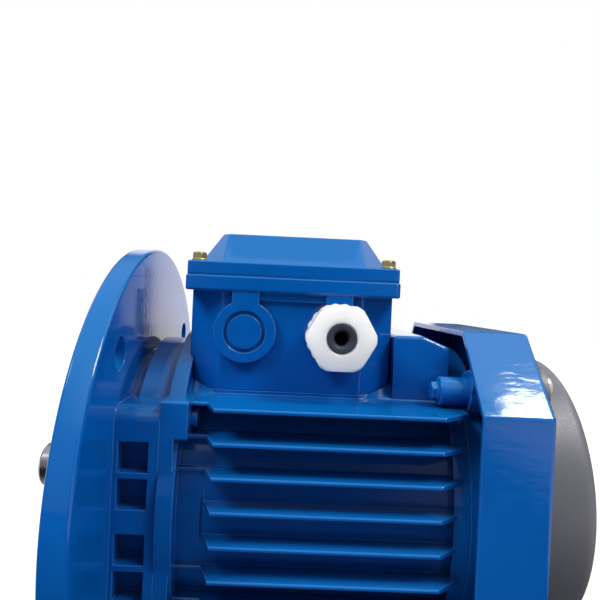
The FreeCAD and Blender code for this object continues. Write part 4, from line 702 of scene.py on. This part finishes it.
class Form:
    """One closed shape in millimetres, on its own upright axis."""

    SEAM = 1e-4
    NODE_SEAM = 0.002
    NODE_SLIVER = 0.001
    ROUND_STEPS = 6
    UPRIGHT_RISE = 0.1
    LOBE_STEPS = 8
    LOBE_ROUND_STEPS = 3
    LOBE_END = math.radians(60.0)

    def __init__(self) -> None:
        """Start an empty shape."""
        self.mesh = bmesh.new()

    @classmethod
    def of_node(cls, node: str) -> "Form":
        """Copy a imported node, with its loose triangles merged.

        Args:
            node: the node's name.

        Returns:
            The copy as a form.
        """
        form = cls()
        form.mesh.from_mesh(frame["nodes"][node].data)
        bmesh.ops.scale(form.mesh, verts=form.mesh.verts, vec=(1 / MM, 1 / MM, 1 / MM))
        merged(form.mesh, cls.NODE_SEAM, cls.NODE_SLIVER)
        return form

    @classmethod
    def turned(cls, outline: Outline, rounds: dict[int, float] | None = None, steps: int = 48) -> "Form":
        """Turn an outline about the axis.

        Args:
            outline: (height, radius) points in order, closed unless both ends lie on the axis.
            rounds: radius of the round on some points, by number.
            steps: how many steps the turn takes.

        Returns:
            The turned shape.
        """
        form = cls()
        points = [form.mesh.verts.new((radius, 0.0, height)) for height, radius in outline]
        on_axis = outline[0][1] == 0.0 and outline[-1][1] == 0.0
        for pair in zip(points, points[1:] + ([] if on_axis else points[:1])):
            form.mesh.edges.new(pair)
        for index, radius in (rounds or {}).items():
            form._round([points[index]], radius, Rounded.POINTS)
        bmesh.ops.spin(form.mesh, geom=list(form.mesh.verts) + list(form.mesh.edges), cent=ORIGIN,
                       axis=UP, dvec=ORIGIN, angle=math.tau, steps=steps, use_merge=True,
                       use_normal_flip=False, use_duplicate=False)
        return form.clean()

    @classmethod
    def prism(cls, sides: int, flats: float, low: float, high: float, round_off: float = 0.0) -> "Form":
        """Make an upright prism.

        Args:
            sides: how many sides it has.
            flats: its width across the flats.
            low: the height of its foot.
            high: the height of its top.
            round_off: the round on its upright edges.

        Returns:
            The prism.
        """
        form = cls()
        radius = flats / 2 / math.cos(math.pi / sides)
        bmesh.ops.create_cone(form.mesh, cap_ends=True, cap_tris=False, segments=sides, radius1=radius,
                              radius2=radius, depth=high - low)
        bmesh.ops.translate(form.mesh, verts=form.mesh.verts, vec=(0, 0, (low + high) / 2))
        return form._round_uprights(round_off)

    @classmethod
    def block(cls, size: Point, centre: Point, round_off: float = 0.0) -> "Form":
        """Make a block for cutting or joining.

        Args:
            size: its length along each axis.
            centre: the middle of the block.
            round_off: the round on its upright edges.

        Returns:
            The block.
        """
        form = cls()
        bmesh.ops.create_cube(form.mesh, size=1.0)
        bmesh.ops.scale(form.mesh, verts=form.mesh.verts, vec=size)
        bmesh.ops.translate(form.mesh, verts=form.mesh.verts, vec=centre)
        return form._round_uprights(round_off)

    @classmethod
    def lobed(cls, radius: float, bore: float, height: float, lobes: int, depth: float) -> "Form":
        """Make a grip ring with lobes around its rim and softened ends.

        Args:
            radius: its radius over the lobes.
            bore: the radius of its hole.
            height: how tall it is.
            lobes: how many lobes it has.
            depth: how deep the hollows between them are.

        Returns:
            The ring, standing on its foot.
        """
        form = cls()
        outer, inner = (bmesh.ops.create_circle(form.mesh, cap_ends=False, segments=lobes * cls.LOBE_STEPS,
                                                radius=size)["verts"] for size in (radius, bore))
        for point in outer:
            swell = math.cos(lobes * math.atan2(point.co.y, point.co.x))
            point.co *= 1.0 - depth * (1.0 - swell) / 2 / radius
        rims = {edge for point in outer + inner for edge in point.link_edges}
        ring = bmesh.ops.bridge_loops(form.mesh, edges=list(rims))["faces"]
        raised = bmesh.ops.extrude_face_region(form.mesh, geom=ring)["geom"]
        top = [entry for entry in raised if isinstance(entry, bmesh.types.BMVert)]
        bmesh.ops.translate(form.mesh, verts=top, vec=(0, 0, height))
        form.clean()
        ends = [edge for edge in form.mesh.edges if edge.calc_face_angle(0.0) > cls.LOBE_END
                and edge.verts[0].co.xy.length > (radius + bore) / 2]
        form._round(ends, depth, Rounded.EDGES, cls.LOBE_ROUND_STEPS)
        return form.clean()

    def _round(self, geometry: list, radius: float, what: Rounded, steps: int = ROUND_STEPS) -> None:
        """Round some points or edges by a radius, in a number of steps."""
        bmesh.ops.bevel(self.mesh, geom=geometry, offset=radius, offset_type="OFFSET", segments=steps,
                        profile=0.5, affect=what.value, material=-1)

    def _round_uprights(self, radius: float) -> "Form":
        """Round the upright edges, where a radius is given.

        Args:
            radius: the round, or 0 for none.

        Returns:
            This form.
        """
        if radius:
            upright = [edge for edge in self.mesh.edges
                       if abs(edge.verts[0].co.z - edge.verts[1].co.z) > self.UPRIGHT_RISE]
            self._round(upright, radius, Rounded.EDGES)
        return self.clean()

    def clean(self) -> "Form":
        """Close the seams and turn the faces outwards.

        Returns:
            This form.
        """
        merged(self.mesh, self.SEAM, self.SEAM)
        bmesh.ops.recalc_face_normals(self.mesh, faces=self.mesh.faces)
        return self

    def joined(self, other: "Form", how: Join) -> "Form":
        """Join this form with another.

        Args:
            other: the other form.
            how: what is kept of the two.

        Returns:
            What they make together, as a new form.
        """
        pair = []
        for form in (self, other):
            data = bpy.data.meshes.new("form")
            form.mesh.to_mesh(data)
            pair.append(placed("form", data))
        step = pair[0].modifiers.new("join", "BOOLEAN")
        step.operation = how.value
        step.solver = "EXACT"
        step.object = pair[1]
        shaped = pair[0].evaluated_get(bpy.context.evaluated_depsgraph_get())
        result = Form()
        result.mesh.from_mesh(shaped.to_mesh())
        shaped.to_mesh_clear()
        for piece in pair:
            data = piece.data
            bpy.data.objects.remove(piece)
            bpy.data.meshes.remove(data)
        return result.clean()


@dataclass(frozen=True)
class Washer:
    """A flat ring with its upper rim rounded."""

    bore: float
    radius: float
    height: float
    rim_round: float

    def form(self) -> Form:
        """Make the washer on its seat."""
        return Form.turned(((0.0, self.bore), (0.0, self.radius), (self.height, self.radius),
                            (self.height, self.bore)), {2: self.rim_round})


@dataclass(frozen=True)
class HexHead:
    """A hexagon head whose top corners are turned down."""

    flats: float
    low: float
    height: float
    crown_share: float
    skirt_share: float = 1.05
    top_share: float = 0.46
    round_share: float = 0.4
    edge_share: float = 0.03

    def form(self) -> Form:
        """Make the head above its washer.

        Returns:
            The head.
        """
        high = self.low + self.height
        crown = self.height * self.crown_share
        reach = self.flats / math.sqrt(3.0) * self.skirt_share
        skirt = Form.turned(((self.low, 0.0), (self.low, reach), (high - crown, reach),
                             (high, self.flats * self.top_share), (high, 0.0)),
                            {3: crown * self.round_share})
        bar = Form.prism(HEXAGON, self.flats, self.low, high, self.flats * self.edge_share)
        return bar.joined(skirt, Join.COMMON)


@dataclass(frozen=True)
class RoundHead:
    """A round head with its rims rounded."""

    radius: float
    height: float
    rounds: dict[int, float]

    def form(self) -> Form:
        """Make the head on its seat."""
        return Form.turned(((0.0, 0.0), (0.0, self.radius), (self.height, self.radius), (self.height, 0.0)),
                           self.rounds)


@dataclass(frozen=True)
class Shank:
    """A screw's shank below its seat, with thread rings and a chamfered tip."""

    radius: float
    length: float
    pitch: float
    overlap: float = 0.3
    neck_share: float = 0.9
    neck_length: float = 0.5
    groove: Span = (0.5, 0.4)
    tip_drop: float = 0.6
    steps: int = 24

    def form(self) -> Form:
        """Make the shank, hanging from its seat.

        Returns:
            The shank.
        """
        neck = self.radius * self.neck_share
        rings = [(-step * self.pitch - self.pitch * share, self.radius - self.pitch * dip)
                 for step in range(1, int(self.length / self.pitch) - 1)
                 for share, dip in ((0.0, 0.0), self.groove)]
        tip = self.radius - self.pitch * self.tip_drop
        return Form.turned(((self.overlap, 0.0), (self.overlap, neck), (-self.pitch * self.neck_length, neck),
                            *rings, (-self.length, tip), (-self.length, 0.0)), steps=self.steps)


class Workpiece:
    """A mesh in the making, in metres."""

    SMOOTH = 32.0

    def __init__(self, name: str) -> None:
        """Start an empty mesh with a piece name."""
        self.name = name
        self.mesh = bmesh.new()

    def copy_node(self, node: str) -> "Workpiece":
        """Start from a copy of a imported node, with its loose triangles merged.

        Args:
            node: the node's name.

        Returns:
            This piece.
        """
        self.mesh.from_mesh(frame["nodes"][node].data)
        merged(self.mesh, Form.NODE_SEAM * MM, Form.NODE_SLIVER * MM)
        return self

    def take(self, form: Form, at: Point = ORIGIN, way: Vector = UP, turn: float = 0.0) -> "Workpiece":
        """Add a copy of a form.

        Args:
            form: the shape, in millimetres.
            at: where its foot goes, in millimetres.
            way: where its axis points.
            turn: its turn about that axis, in radians.

        Returns:
            This piece.
        """
        data = bpy.data.meshes.new("form")
        form.mesh.to_mesh(data)
        upright = UP.rotation_difference(way).to_matrix().to_4x4()
        data.transform(Matrix.Scale(MM, 4) @ Matrix.Translation(at) @ upright @ Matrix.Rotation(turn, 4, "Z"))
        self.mesh.from_mesh(data)
        bpy.data.meshes.remove(data)
        return self

    def ease(self, angle: float = SMOOTH) -> "Workpiece":
        """Shade smoothly, apart from sharp edges.

        Args:
            angle: edges sharper than this stay sharp, in degrees.

        Returns:
            This piece.
        """
        limit = math.radians(angle)
        for face in self.mesh.faces:
            face.smooth = True
        for edge in self.mesh.edges:
            edge.smooth = len(edge.link_faces) == 2 and edge.calc_face_angle(0.0) < limit
        return self

    def finish(self, body: Body, slot: Slot, *nodes: str) -> bpy.types.Object:
        """Make the mesh a dressed piece that rides on a body.

        Args:
            body: what the piece moves with.
            slot: the finish it takes.
            nodes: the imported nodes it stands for.

        Returns:
            The finished object.
        """
        data = bpy.data.meshes.new(self.name)
        self.mesh.to_mesh(data)
        self.mesh.free()
        piece = placed(self.name, data)
        piece.modifiers.new("weighted", "WEIGHTED_NORMAL").keep_sharp = True
        PAINT.dress(piece, slot)
        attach(piece, body.value)
        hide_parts(*nodes)
        LOG.info("%s: %d faces", self.name, len(data.polygons))
        return piece


def dress_nodes() -> None:
    """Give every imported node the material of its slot."""
    for part in frame["record"]["subparts"]:
        PAINT.dress(frame["nodes"][part["node"]], Slot(part["material_slot"]))


@dataclass
class Castings:
    """Eased copies of the castings, the cowl, the shaft and the inner works."""

    detailed: tuple[str, ...] = (
        "gland_body", "gland_nut", "gland_seal", "lid_screws", "lid_washers", "tie_bolts", "tie_washers",
        "cowl_screws", "drive_end_bolts", "drive_end_shield", "lid_gasket")

    def build(self) -> None:
        """Build an eased copy of each node that has no detailed piece."""
        bodies = {node: Body(body) for body, nodes in frame["record"]["behaviour"]["bodies"].items()
                  for node in nodes}
        for part in frame["record"]["subparts"]:
            node, slot = part["node"], Slot(part["material_slot"])
            if node not in self.detailed:
                Workpiece(f"{node}_eased").copy_node(node).ease().finish(bodies[node], slot, node)


@dataclass
class Flange:
    """The drive-end shield, with a smoothly turned rim on its flange."""

    inner: float = 92.0
    radius: float = 100.02
    front: float = -0.01
    rear: float = 9.01
    rim_round: float = 1.2
    steps: int = 240

    def build(self) -> None:
        """Build the shield with its rim."""
        rim = Form.turned(((self.front, self.inner), (self.front, self.radius), (self.rear, self.radius),
                           (self.rear, self.inner)), {1: self.rim_round, 2: self.rim_round}, self.steps)
        bmesh.ops.rotate(rim.mesh, verts=rim.mesh.verts, cent=ORIGIN,
                         matrix=Matrix.Rotation(math.pi / 2, 3, "Y"))
        shield = Form.of_node("drive_end_shield").joined(rim, Join.BOTH)
        piece = Workpiece("flange_shield").take(shield).ease()
        piece.finish(Body.HOUSING, Slot.CASTING, "drive_end_shield")


@dataclass
class Gasket:
    """The lid's gasket, with the bead of paint that fills its seam."""

    centre: Point = (69.5, 0.0, 88.7)
    outer: tuple[float, float] = (82.3, 84.9)
    inner: tuple[float, float] = (80.2, 82.8)
    bead: float = 0.38
    cut: float = 1.0
    corner: float = 1.2

    def build(self) -> None:
        """Build the gasket with its bead."""
        bead = Form.block((*self.outer, self.bead), self.centre, self.corner)
        bead = bead.joined(Form.block((*self.inner, self.cut), self.centre, self.corner), Join.CUT)
        sheet = Form.of_node("lid_gasket").joined(bead, Join.BOTH)
        piece = Workpiece("beaded_gasket").take(sheet).ease()
        PAINT.cover(piece.finish(Body.HOUSING, Slot.RUBBER, "lid_gasket"), PAINT.sprayed)


@dataclass
class Gland:
    """The white cable gland with its grip collar, domed nut and rubber seal."""

    axis: Point = (87.7, -42.5, 67.0)
    bore: float = 5.5
    steps: int = 64
    collar_radius: float = 12.6
    collar_bore: float = 6.0
    collar_length: float = 5.0
    collar_smooth: float = 35.0
    lobes: int = 18
    lobe_depth: float = 0.5
    tube_radius: float = 7.9
    tube_depth: float = 11.0
    tube_end: float = 0.5
    tube_round: float = 0.6
    neck_radius: float = 8.5
    neck_end: float = 11.0
    nut_foot: float = 5.3
    nut_end: float = 17.0
    nut_room: float = 0.3
    nut_trim: float = 1.0
    nut_flats: float = 23.6
    nut_corner: float = 12.9
    nut_edge: float = 1.0
    nut_shoulder: float = 1.1
    nut_face: float = 7.2
    nut_lip: float = 0.5
    nut_rounds: tuple[float, float, float] = (0.7, 1.0, 2.2)
    nut_steps: int = 96
    nut_turn: float = math.pi / 6
    nut_smooth: float = 28.0
    seal_radius: float = 5.4
    seal_foot: float = 6.0
    seal_end: float = 16.9
    seal_dish: float = 0.7
    seal_lip_share: float = 0.3
    seal_round: float = 0.5
    cable_radius: float = 2.45
    funnel: float = 3.3
    funnel_depth: float = 1.6

    def build(self) -> None:
        """Build the body, the nut and the seal."""
        self._body()
        self._nut()
        self._seal()

    def _body(self) -> None:
        """Build the lobed collar and the tube through the wall."""
        collar = Form.lobed(self.collar_radius, self.collar_bore, self.collar_length, self.lobes,
                            self.lobe_depth)
        tube = Form.turned(((-self.tube_depth, self.bore), (-self.tube_depth, self.tube_radius),
                            (self.tube_end, self.tube_radius), (self.tube_end, self.neck_radius),
                            (self.neck_end, self.neck_radius), (self.neck_end, self.bore)),
                           {1: self.tube_round, 4: self.tube_round}, self.steps)
        piece = Workpiece("gland_collar").take(collar.joined(tube, Join.BOTH), self.axis, FRONT)
        piece.ease(self.collar_smooth).finish(Body.HOUSING, Slot.NYLON, "gland_body")

    def _nut(self) -> None:
        """Build the domed hexagon nut."""
        seat = self.neck_end + self.nut_room
        dome = Form.turned(((self.nut_foot, self.neck_radius), (self.nut_foot, self.nut_corner),
                            (self.nut_end - self.nut_shoulder, self.nut_corner),
                            (self.nut_end, self.nut_face), (self.nut_end, self.bore + self.nut_lip),
                            (self.nut_end - self.nut_lip, self.bore), (seat, self.bore),
                            (seat, self.neck_radius)),
                           dict(enumerate(self.nut_rounds, start=1)), self.nut_steps)
        bar = Form.prism(HEXAGON, self.nut_flats, self.nut_foot - self.nut_trim, self.nut_end + self.nut_trim,
                         self.nut_edge)
        nut = bar.joined(dome, Join.COMMON)
        piece = Workpiece("gland_dome_nut").take(nut, self.axis, FRONT, self.nut_turn)
        piece.ease(self.nut_smooth).finish(Body.HOUSING, Slot.NYLON, "gland_nut")

    def _seal(self) -> None:
        """Build the dished rubber seal with its cable hole."""
        rim = self.seal_end
        ring = Form.turned(((self.seal_foot, self.cable_radius), (self.seal_foot, self.seal_radius),
                            (rim, self.seal_radius),
                            (rim - self.seal_dish * self.seal_lip_share, self.funnel),
                            (rim - self.seal_dish - self.funnel_depth, self.cable_radius)),
                           dict.fromkeys((2, 3, 4), self.seal_round), self.steps)
        piece = Workpiece("gland_seal_ring").take(ring, self.axis, FRONT)
        piece.ease().finish(Body.HOUSING, Slot.RUBBER, "gland_seal")


@dataclass
class ScrewSet:
    """Four like screws, one at each corner of an end face."""

    reach: tuple[float, float]
    seat: float
    head: float
    shank: float
    length: float
    pitch: float
    turns: tuple[float, float, float, float]

    def _spots(self) -> list[Point]:
        """Return the middle of each screw's seat, in millimetres."""
        return [(self.seat, side_y * self.reach[0], side_z * self.reach[1]) for side_y, side_z in CORNERS]

    def _set(self, name: str, way: Vector, *forms: Form) -> Workpiece:
        """Put the four screws together.

        Args:
            name: the name of the set.
            way: where the heads point.
            forms: the shapes of one screw's washer and head.

        Returns:
            The set as one eased piece, with the shanks added.
        """
        piece = Workpiece(name)
        rod = Shank(self.shank, self.length, self.pitch).form()
        for at, turn in zip(self._spots(), self.turns):
            for form in (*forms, rod):
                piece.take(form, at, way, turn)
        return piece.ease()


@dataclass
class LidScrews(ScrewSet):
    """Hexagon screws and washers at the lid's corners."""

    centre_x: float = 69.5
    reach: tuple[float, float] = (37.1, 38.4)
    seat: float = 93.9
    washer_radius: float = 3.0
    washer: float = 0.8
    washer_round: float = 0.3
    flats: float = 5.0
    head: float = 2.6
    crown_share: float = 0.35
    shank: float = 1.5
    length: float = 10.4
    pitch: float = 0.6
    turns: tuple[float, float, float, float] = (0.35, 0.1, 0.8, 0.5)

    def _spots(self) -> list[Point]:
        """Return the middle of each screw's seat on the lid, in millimetres."""
        return [(self.centre_x + side_x * self.reach[0], side_y * self.reach[1], self.seat)
                for side_x, side_y in CORNERS]

    def build(self) -> None:
        """Build the four screws as one set."""
        ring = Washer(self.shank, self.washer_radius, self.washer, self.washer_round).form()
        head = HexHead(self.flats, self.washer, self.head, self.crown_share).form()
        piece = self._set("lid_screw_set", UP, ring, head)
        piece.finish(Body.HOUSING, Slot.BRASS, "lid_screws", "lid_washers")


@dataclass
class TieBolts(ScrewSet):
    """Painted bolts that hold the rear shield to the frame."""

    reach: tuple[float, float] = (48.22, 48.22)
    seat: float = 125.4
    washer_radius: float = 4.0
    washer: float = 0.5
    washer_round: float = 0.2
    flats: float = 6.4
    head: float = 2.2
    crown_share: float = 0.3
    shank: float = 2.5
    length: float = 17.6
    pitch: float = 0.8
    turns: tuple[float, float, float, float] = (0.2, 0.6, 0.9, 0.4)

    def build(self) -> None:
        """Build the four bolts as one set."""
        ring = Washer(self.shank, self.washer_radius, self.washer, self.washer_round).form()
        head = HexHead(self.flats, self.washer, self.head, self.crown_share).form()
        piece = self._set("tie_bolt_set", -FANWARD, ring, head)
        piece.finish(Body.HOUSING, Slot.SHEET, "tie_bolts", "tie_washers")


@dataclass
class CowlScrews(ScrewSet):
    """Pan-head screws with a cross recess on the guard's ears."""

    reach: tuple[float, float] = (51.97, 51.97)
    seat: float = 163.5
    radius: float = 3.8
    head: float = 3.0
    foot_round: float = 0.3
    dome_share: float = 0.62
    shank: float = 2.0
    length: float = 12.5
    pitch: float = 0.7
    cross: Point = (4.0, 0.9, 1.8)
    turns: tuple[float, float, float, float] = (0.5, 0.2, 1.1, 0.8)

    def build(self) -> None:
        """Build the four screws as one set."""
        rounds = {1: self.foot_round, 2: self.head * self.dome_share}
        head = RoundHead(self.radius, self.head, rounds).form()
        wide, thin, deep = self.cross
        for size in ((wide, thin, deep), (thin, wide, deep)):
            head = head.joined(Form.block(size, (0.0, 0.0, self.head)), Join.CUT)
        piece = self._set("cowl_screw_set", FANWARD, head)
        PAINT.cover(piece.finish(Body.HOUSING, Slot.STEEL, "cowl_screws"), PAINT.zinc)


@dataclass
class DriveBolts(ScrewSet):
    """Low painted socket screws that hold the drive-end shield."""

    reach: tuple[float, float] = (52.0, 35.4)
    seat: float = 34.6
    radius: float = 3.8
    head: float = 2.4
    rim_round: float = 0.6
    socket: float = 3.6
    socket_depth: float = 1.5
    socket_trim: float = 1.0
    shank: float = 2.5
    length: float = 19.6
    pitch: float = 0.8
    turns: tuple[float, float, float, float] = (0.1, 0.7, 0.4, 0.9)

    def build(self) -> None:
        """Build the four screws as one set."""
        head = RoundHead(self.radius, self.head, {2: self.rim_round}).form()
        hole = Form.prism(HEXAGON, self.socket, self.head - self.socket_depth, self.head + self.socket_trim)
        piece = self._set("drive_bolt_set", FANWARD, head.joined(hole, Join.CUT))
        piece.finish(Body.HOUSING, Slot.SHEET, "drive_end_bolts")


@dataclass(frozen=True)
class Camera:
    """The camera at the photograph's viewpoint."""

    at: Point = (0.06926, -0.26005, 0.08059)
    yaw: float = 0.0139
    pitch: float = -0.0017
    roll: float = 0.045
    lens: float = 33.82
    sensor: float = 36.0
    nearest: float = 0.01

    def build(self) -> None:
        """Place the camera."""
        ahead = Vector((self.yaw, 1.0, self.pitch)).normalized()
        level = ahead.cross(UP).normalized()
        above = level.cross(ahead)
        side = level * math.cos(self.roll) + above * math.sin(self.roll)
        top = above * math.cos(self.roll) - level * math.sin(self.roll)
        turn = Matrix((side, top, -ahead)).transposed()
        data = bpy.data.cameras.new("camera")
        data.lens = self.lens
        data.sensor_width = self.sensor
        data.sensor_fit = "HORIZONTAL"
        data.clip_start = self.nearest
        camera = placed("camera", data)
        camera.matrix_world = Matrix.Translation(self.at) @ turn.to_4x4()
        bpy.context.scene.camera = camera


class Way(Enum):
    """The measures of a direction in the room that bound a panel."""

    ACROSS = "from left to right"
    ASIDE = "to either side"
    BACK = "away from the viewer"
    UPWARD = "upwards"
    LEAN = "across, for each step back"


@dataclass(frozen=True)
class Panel:
    """One part of the room with its own light and soft borders."""

    light: Colour
    borders: tuple[tuple[Way, float, float], ...]

    def laid(self, room: Wiring, ways: dict[Way, Socket], behind: object) -> Socket:
        """Lay the panel over the light behind it and return both."""
        shares = [room.spread(ways[way], low, high) for way, low, high in self.borders]
        return room.mix(room.product(*shares), behind, self.light)


AHEAD = (Way.BACK, -0.45, -0.75)
REAR = (Way.BACK, 0.0, 0.15)
PANE = ((Way.BACK, 0.12, 0.3), (Way.UPWARD, 0.3, 0.45), (Way.UPWARD, 0.8, 0.7))
CEILING = Panel((0.52, 0.54, 0.58), ((Way.UPWARD, 0.35, 0.95),))
SIDE_WALLS = Panel((0.3, 0.305, 0.32), ((Way.ASIDE, 0.1, 0.45),))
RIGHT_WALL = Panel((0.62, 0.63, 0.66), ((Way.ACROSS, 0.3, 0.85),))
BACK_WALL = Panel((0.9, 0.91, 0.96), ((Way.BACK, 0.0, 0.45),))
FRONT_WALLS = Panel((0.22, 0.225, 0.24), (AHEAD, (Way.ASIDE, 0.08, 0.3)))
FRONT_WINDOW = Panel((0.75, 0.77, 0.82), (AHEAD, (Way.ACROSS, 0.34, 0.5)))
STRIP = Panel((0.32, 0.44, 0.66), (REAR, (Way.LEAN, 0.6, 0.5), (Way.UPWARD, 0.038, 0.05),
                                   (Way.UPWARD, 0.2, 0.1)))
LEFT_PANE = Panel((0.95, 0.98, 1.05), ((Way.ACROSS, -0.5, -0.65), *PANE))
RIGHT_PANE = Panel((1.15, 1.18, 1.25), ((Way.ACROSS, 0.5, 0.65), *PANE))
PAPER = Panel((1.1, 1.1, 1.14), (REAR, (Way.LEAN, 0.262, 0.24), (Way.LEAN, -0.4, -0.3),
                                 (Way.UPWARD, 0.55, 0.4)))
SOFT_PANELS = (SIDE_WALLS, RIGHT_WALL, CEILING, BACK_WALL)
MIRROR_PANELS = (FRONT_WALLS, FRONT_WINDOW, CEILING, STRIP, LEFT_PANE, RIGHT_PANE, PAPER)


@dataclass(frozen=True)
class Room:
    """The studio room: white to the camera, soft light to matt faces, panels to gloss."""

    gloom: Colour = (0.006, 0.007, 0.011)
    dark: Colour = (0.012, 0.013, 0.018)
    least_depth: float = 0.02

    def build(self) -> None:
        """Make the world."""
        world = bpy.data.worlds.new("studio")
        world.use_nodes = True
        bpy.context.scene.world = world
        room = Wiring(world.node_tree)
        room.tree.nodes.clear()
        axes = room.axes(room.node("ShaderNodeTexCoord").outputs["Generated"])
        depth = room.math("MAXIMUM", axes["Y"], self.least_depth)
        ways = {Way.ACROSS: axes["X"], Way.ASIDE: room.math("ABSOLUTE", axes["X"]), Way.BACK: axes["Y"],
                Way.UPWARD: axes["Z"], Way.LEAN: room.math("DIVIDE", axes["X"], depth)}
        light, gloss = self.gloom, self.dark
        for panel in SOFT_PANELS:
            light = panel.laid(room, ways, light)
        for panel in MIRROR_PANELS:
            gloss = panel.laid(room, ways, gloss)
        rays = room.node("ShaderNodeLightPath").outputs
        seen = room.math("MAXIMUM", rays["Is Camera Ray"], rays["Is Transmission Ray"])
        colour = room.mix(seen, room.mix(rays["Is Glossy Ray"], light, gloss), WHITE)
        sky = room.node("ShaderNodeBackground", {"Color": colour, "Strength": 1.0})
        room.node("ShaderNodeOutputWorld", {0: sky.outputs[0]})


@dataclass(frozen=True)
class Floor:
    """The pale floor that keeps the motor's shadow."""

    centre: Point = (0.07, 0.0, -0.1005)
    size: float = 3.0
    matt: Colour = (0.3, 0.3, 0.31)
    near_light: float = 0.72
    near_gloom: float = 0.012
    near_right: Span = (0.3, 0.43)
    near_front: Span = (-1.1, -0.8)
    change: Span = (-0.12, 0.25)
    paper_border: Span = (0.262, 0.24)
    paper_light: Span = (0.03, 1.05)
    least_depth: float = 0.05
    fade: Span = (0.3, 1.2)
    fade_light: Span = (0.8, 1.0)

    def build(self) -> None:
        """Lay the floor."""
        mesh = bmesh.new()
        bmesh.ops.create_grid(mesh, x_segments=1, y_segments=1, size=self.size)
        bmesh.ops.translate(mesh, verts=mesh.verts, vec=self.centre)
        data = bpy.data.meshes.new("floor")
        mesh.to_mesh(data)
        mesh.free()
        placed("floor", data)
        data.materials.append(self._material())

    def _material(self) -> bpy.types.Material:
        """Make the floor pale to the camera, matt to light and part lit to gloss.

        Returns:
            The material.
        """
        material = bpy.data.materials.new("pale_floor")
        material.use_nodes = True
        sheet = Wiring(material.node_tree)
        sheet.tree.nodes.clear()
        rays = sheet.node("ShaderNodeLightPath").outputs
        place = sheet.node("ShaderNodeTexCoord").outputs["Object"]
        axes = sheet.axes(place)
        colour = sheet.mix(rays["Is Glossy Ray"], self.matt, BLACK)
        matt = sheet.node("ShaderNodeBsdfDiffuse", {"Color": colour})
        lit = sheet.product(sheet.spread(axes["X"], *self.near_right),
                            sheet.spread(axes["Y"], *self.near_front))
        near = sheet.math("MULTIPLY_ADD", lit, self.near_light, self.near_gloom)
        lean = sheet.math("DIVIDE", axes["X"], sheet.math("MAXIMUM", axes["Y"], self.least_depth))
        far = sheet.spread(lean, *self.paper_border, *self.paper_light)
        mirrored = sheet.spread(axes["Y"], *self.change, near, far)
        pale = sheet.spread(sheet.length(place), *self.fade, *self.fade_light)
        level = sheet.math("MULTIPLY_ADD", rays["Is Glossy Ray"], mirrored,
                           sheet.product(rays["Is Camera Ray"], pale))
        glow = sheet.node("ShaderNodeEmission", {"Color": WHITE, "Strength": level})
        both = sheet.node("ShaderNodeAddShader", {0: matt.outputs[0], 1: glow.outputs[0]})
        sheet.node("ShaderNodeOutputMaterial", {0: both.outputs[0]})
        return material


@dataclass(frozen=True)
class Lamp:
    """A soft rectangular lamp, in metres and watts."""

    name: str
    at: Point
    towards: Point
    width: float
    height: float
    power: float
    mirrored: bool = True

    def build(self) -> None:
        """Hang the lamp and turn it to its point."""
        data = bpy.data.lights.new(self.name, "AREA")
        data.shape = "RECTANGLE"
        data.size = self.width
        data.size_y = self.height
        data.energy = self.power
        lamp = placed(self.name, data)
        lamp.visible_glossy = self.mirrored
        way = Vector(self.towards) - Vector(self.at)
        lamp.matrix_world = Matrix.Translation(self.at) @ way.to_track_quat("-Z", "Y").to_matrix().to_4x4()


MIDDLE: Point = (0.07, 0.0, 0.05)
LAMPS = (
    Lamp("right_key", (0.62, -0.35, 0.848), (0.62, -0.35, 0.0),
         width=0.33, height=0.33, power=8.9),
    Lamp("left_key", (-0.57, -0.4, 0.85), MIDDLE,
         width=0.4, height=0.4, power=10.1, mirrored=False),
    Lamp("left_glint", (-0.55, -0.45, 0.75), MIDDLE,
         width=0.18, height=0.18, power=0.6),
    Lamp("front_fill", (0.07, -0.8, 0.85), MIDDLE,
         width=0.9, height=0.6, power=0.5),
    Lamp("overhead", (0.5, -0.05, 0.98), (0.12, 0.0, 0.05),
         width=0.35, height=0.6, power=0.5),
)


@dataclass
class Studio:
    """Camera, room, floor and lamps around the motor."""

    fittings: tuple[Camera | Room | Floor | Lamp, ...] = (Camera(), Room(), Floor(), *LAMPS)

    def build(self) -> None:
        """Build the camera, the light and the floor."""
        bpy.context.scene.view_settings.view_transform = "Standard"
        for fitting in self.fittings:
            fitting.build()


def main() -> None:
    """Build every sub-assembly in order."""
    logging.basicConfig(level=logging.INFO, format="%(message)s")
    dress_nodes()
    for assembly in (Castings(), Flange(), Gasket(), Gland(), LidScrews(), TieBolts(), CowlScrews(),
                     DriveBolts(), Studio()):
        assembly.build()
        LOG.info("built %s", type(assembly).__name__)


if __name__ == "__main__":
    main()
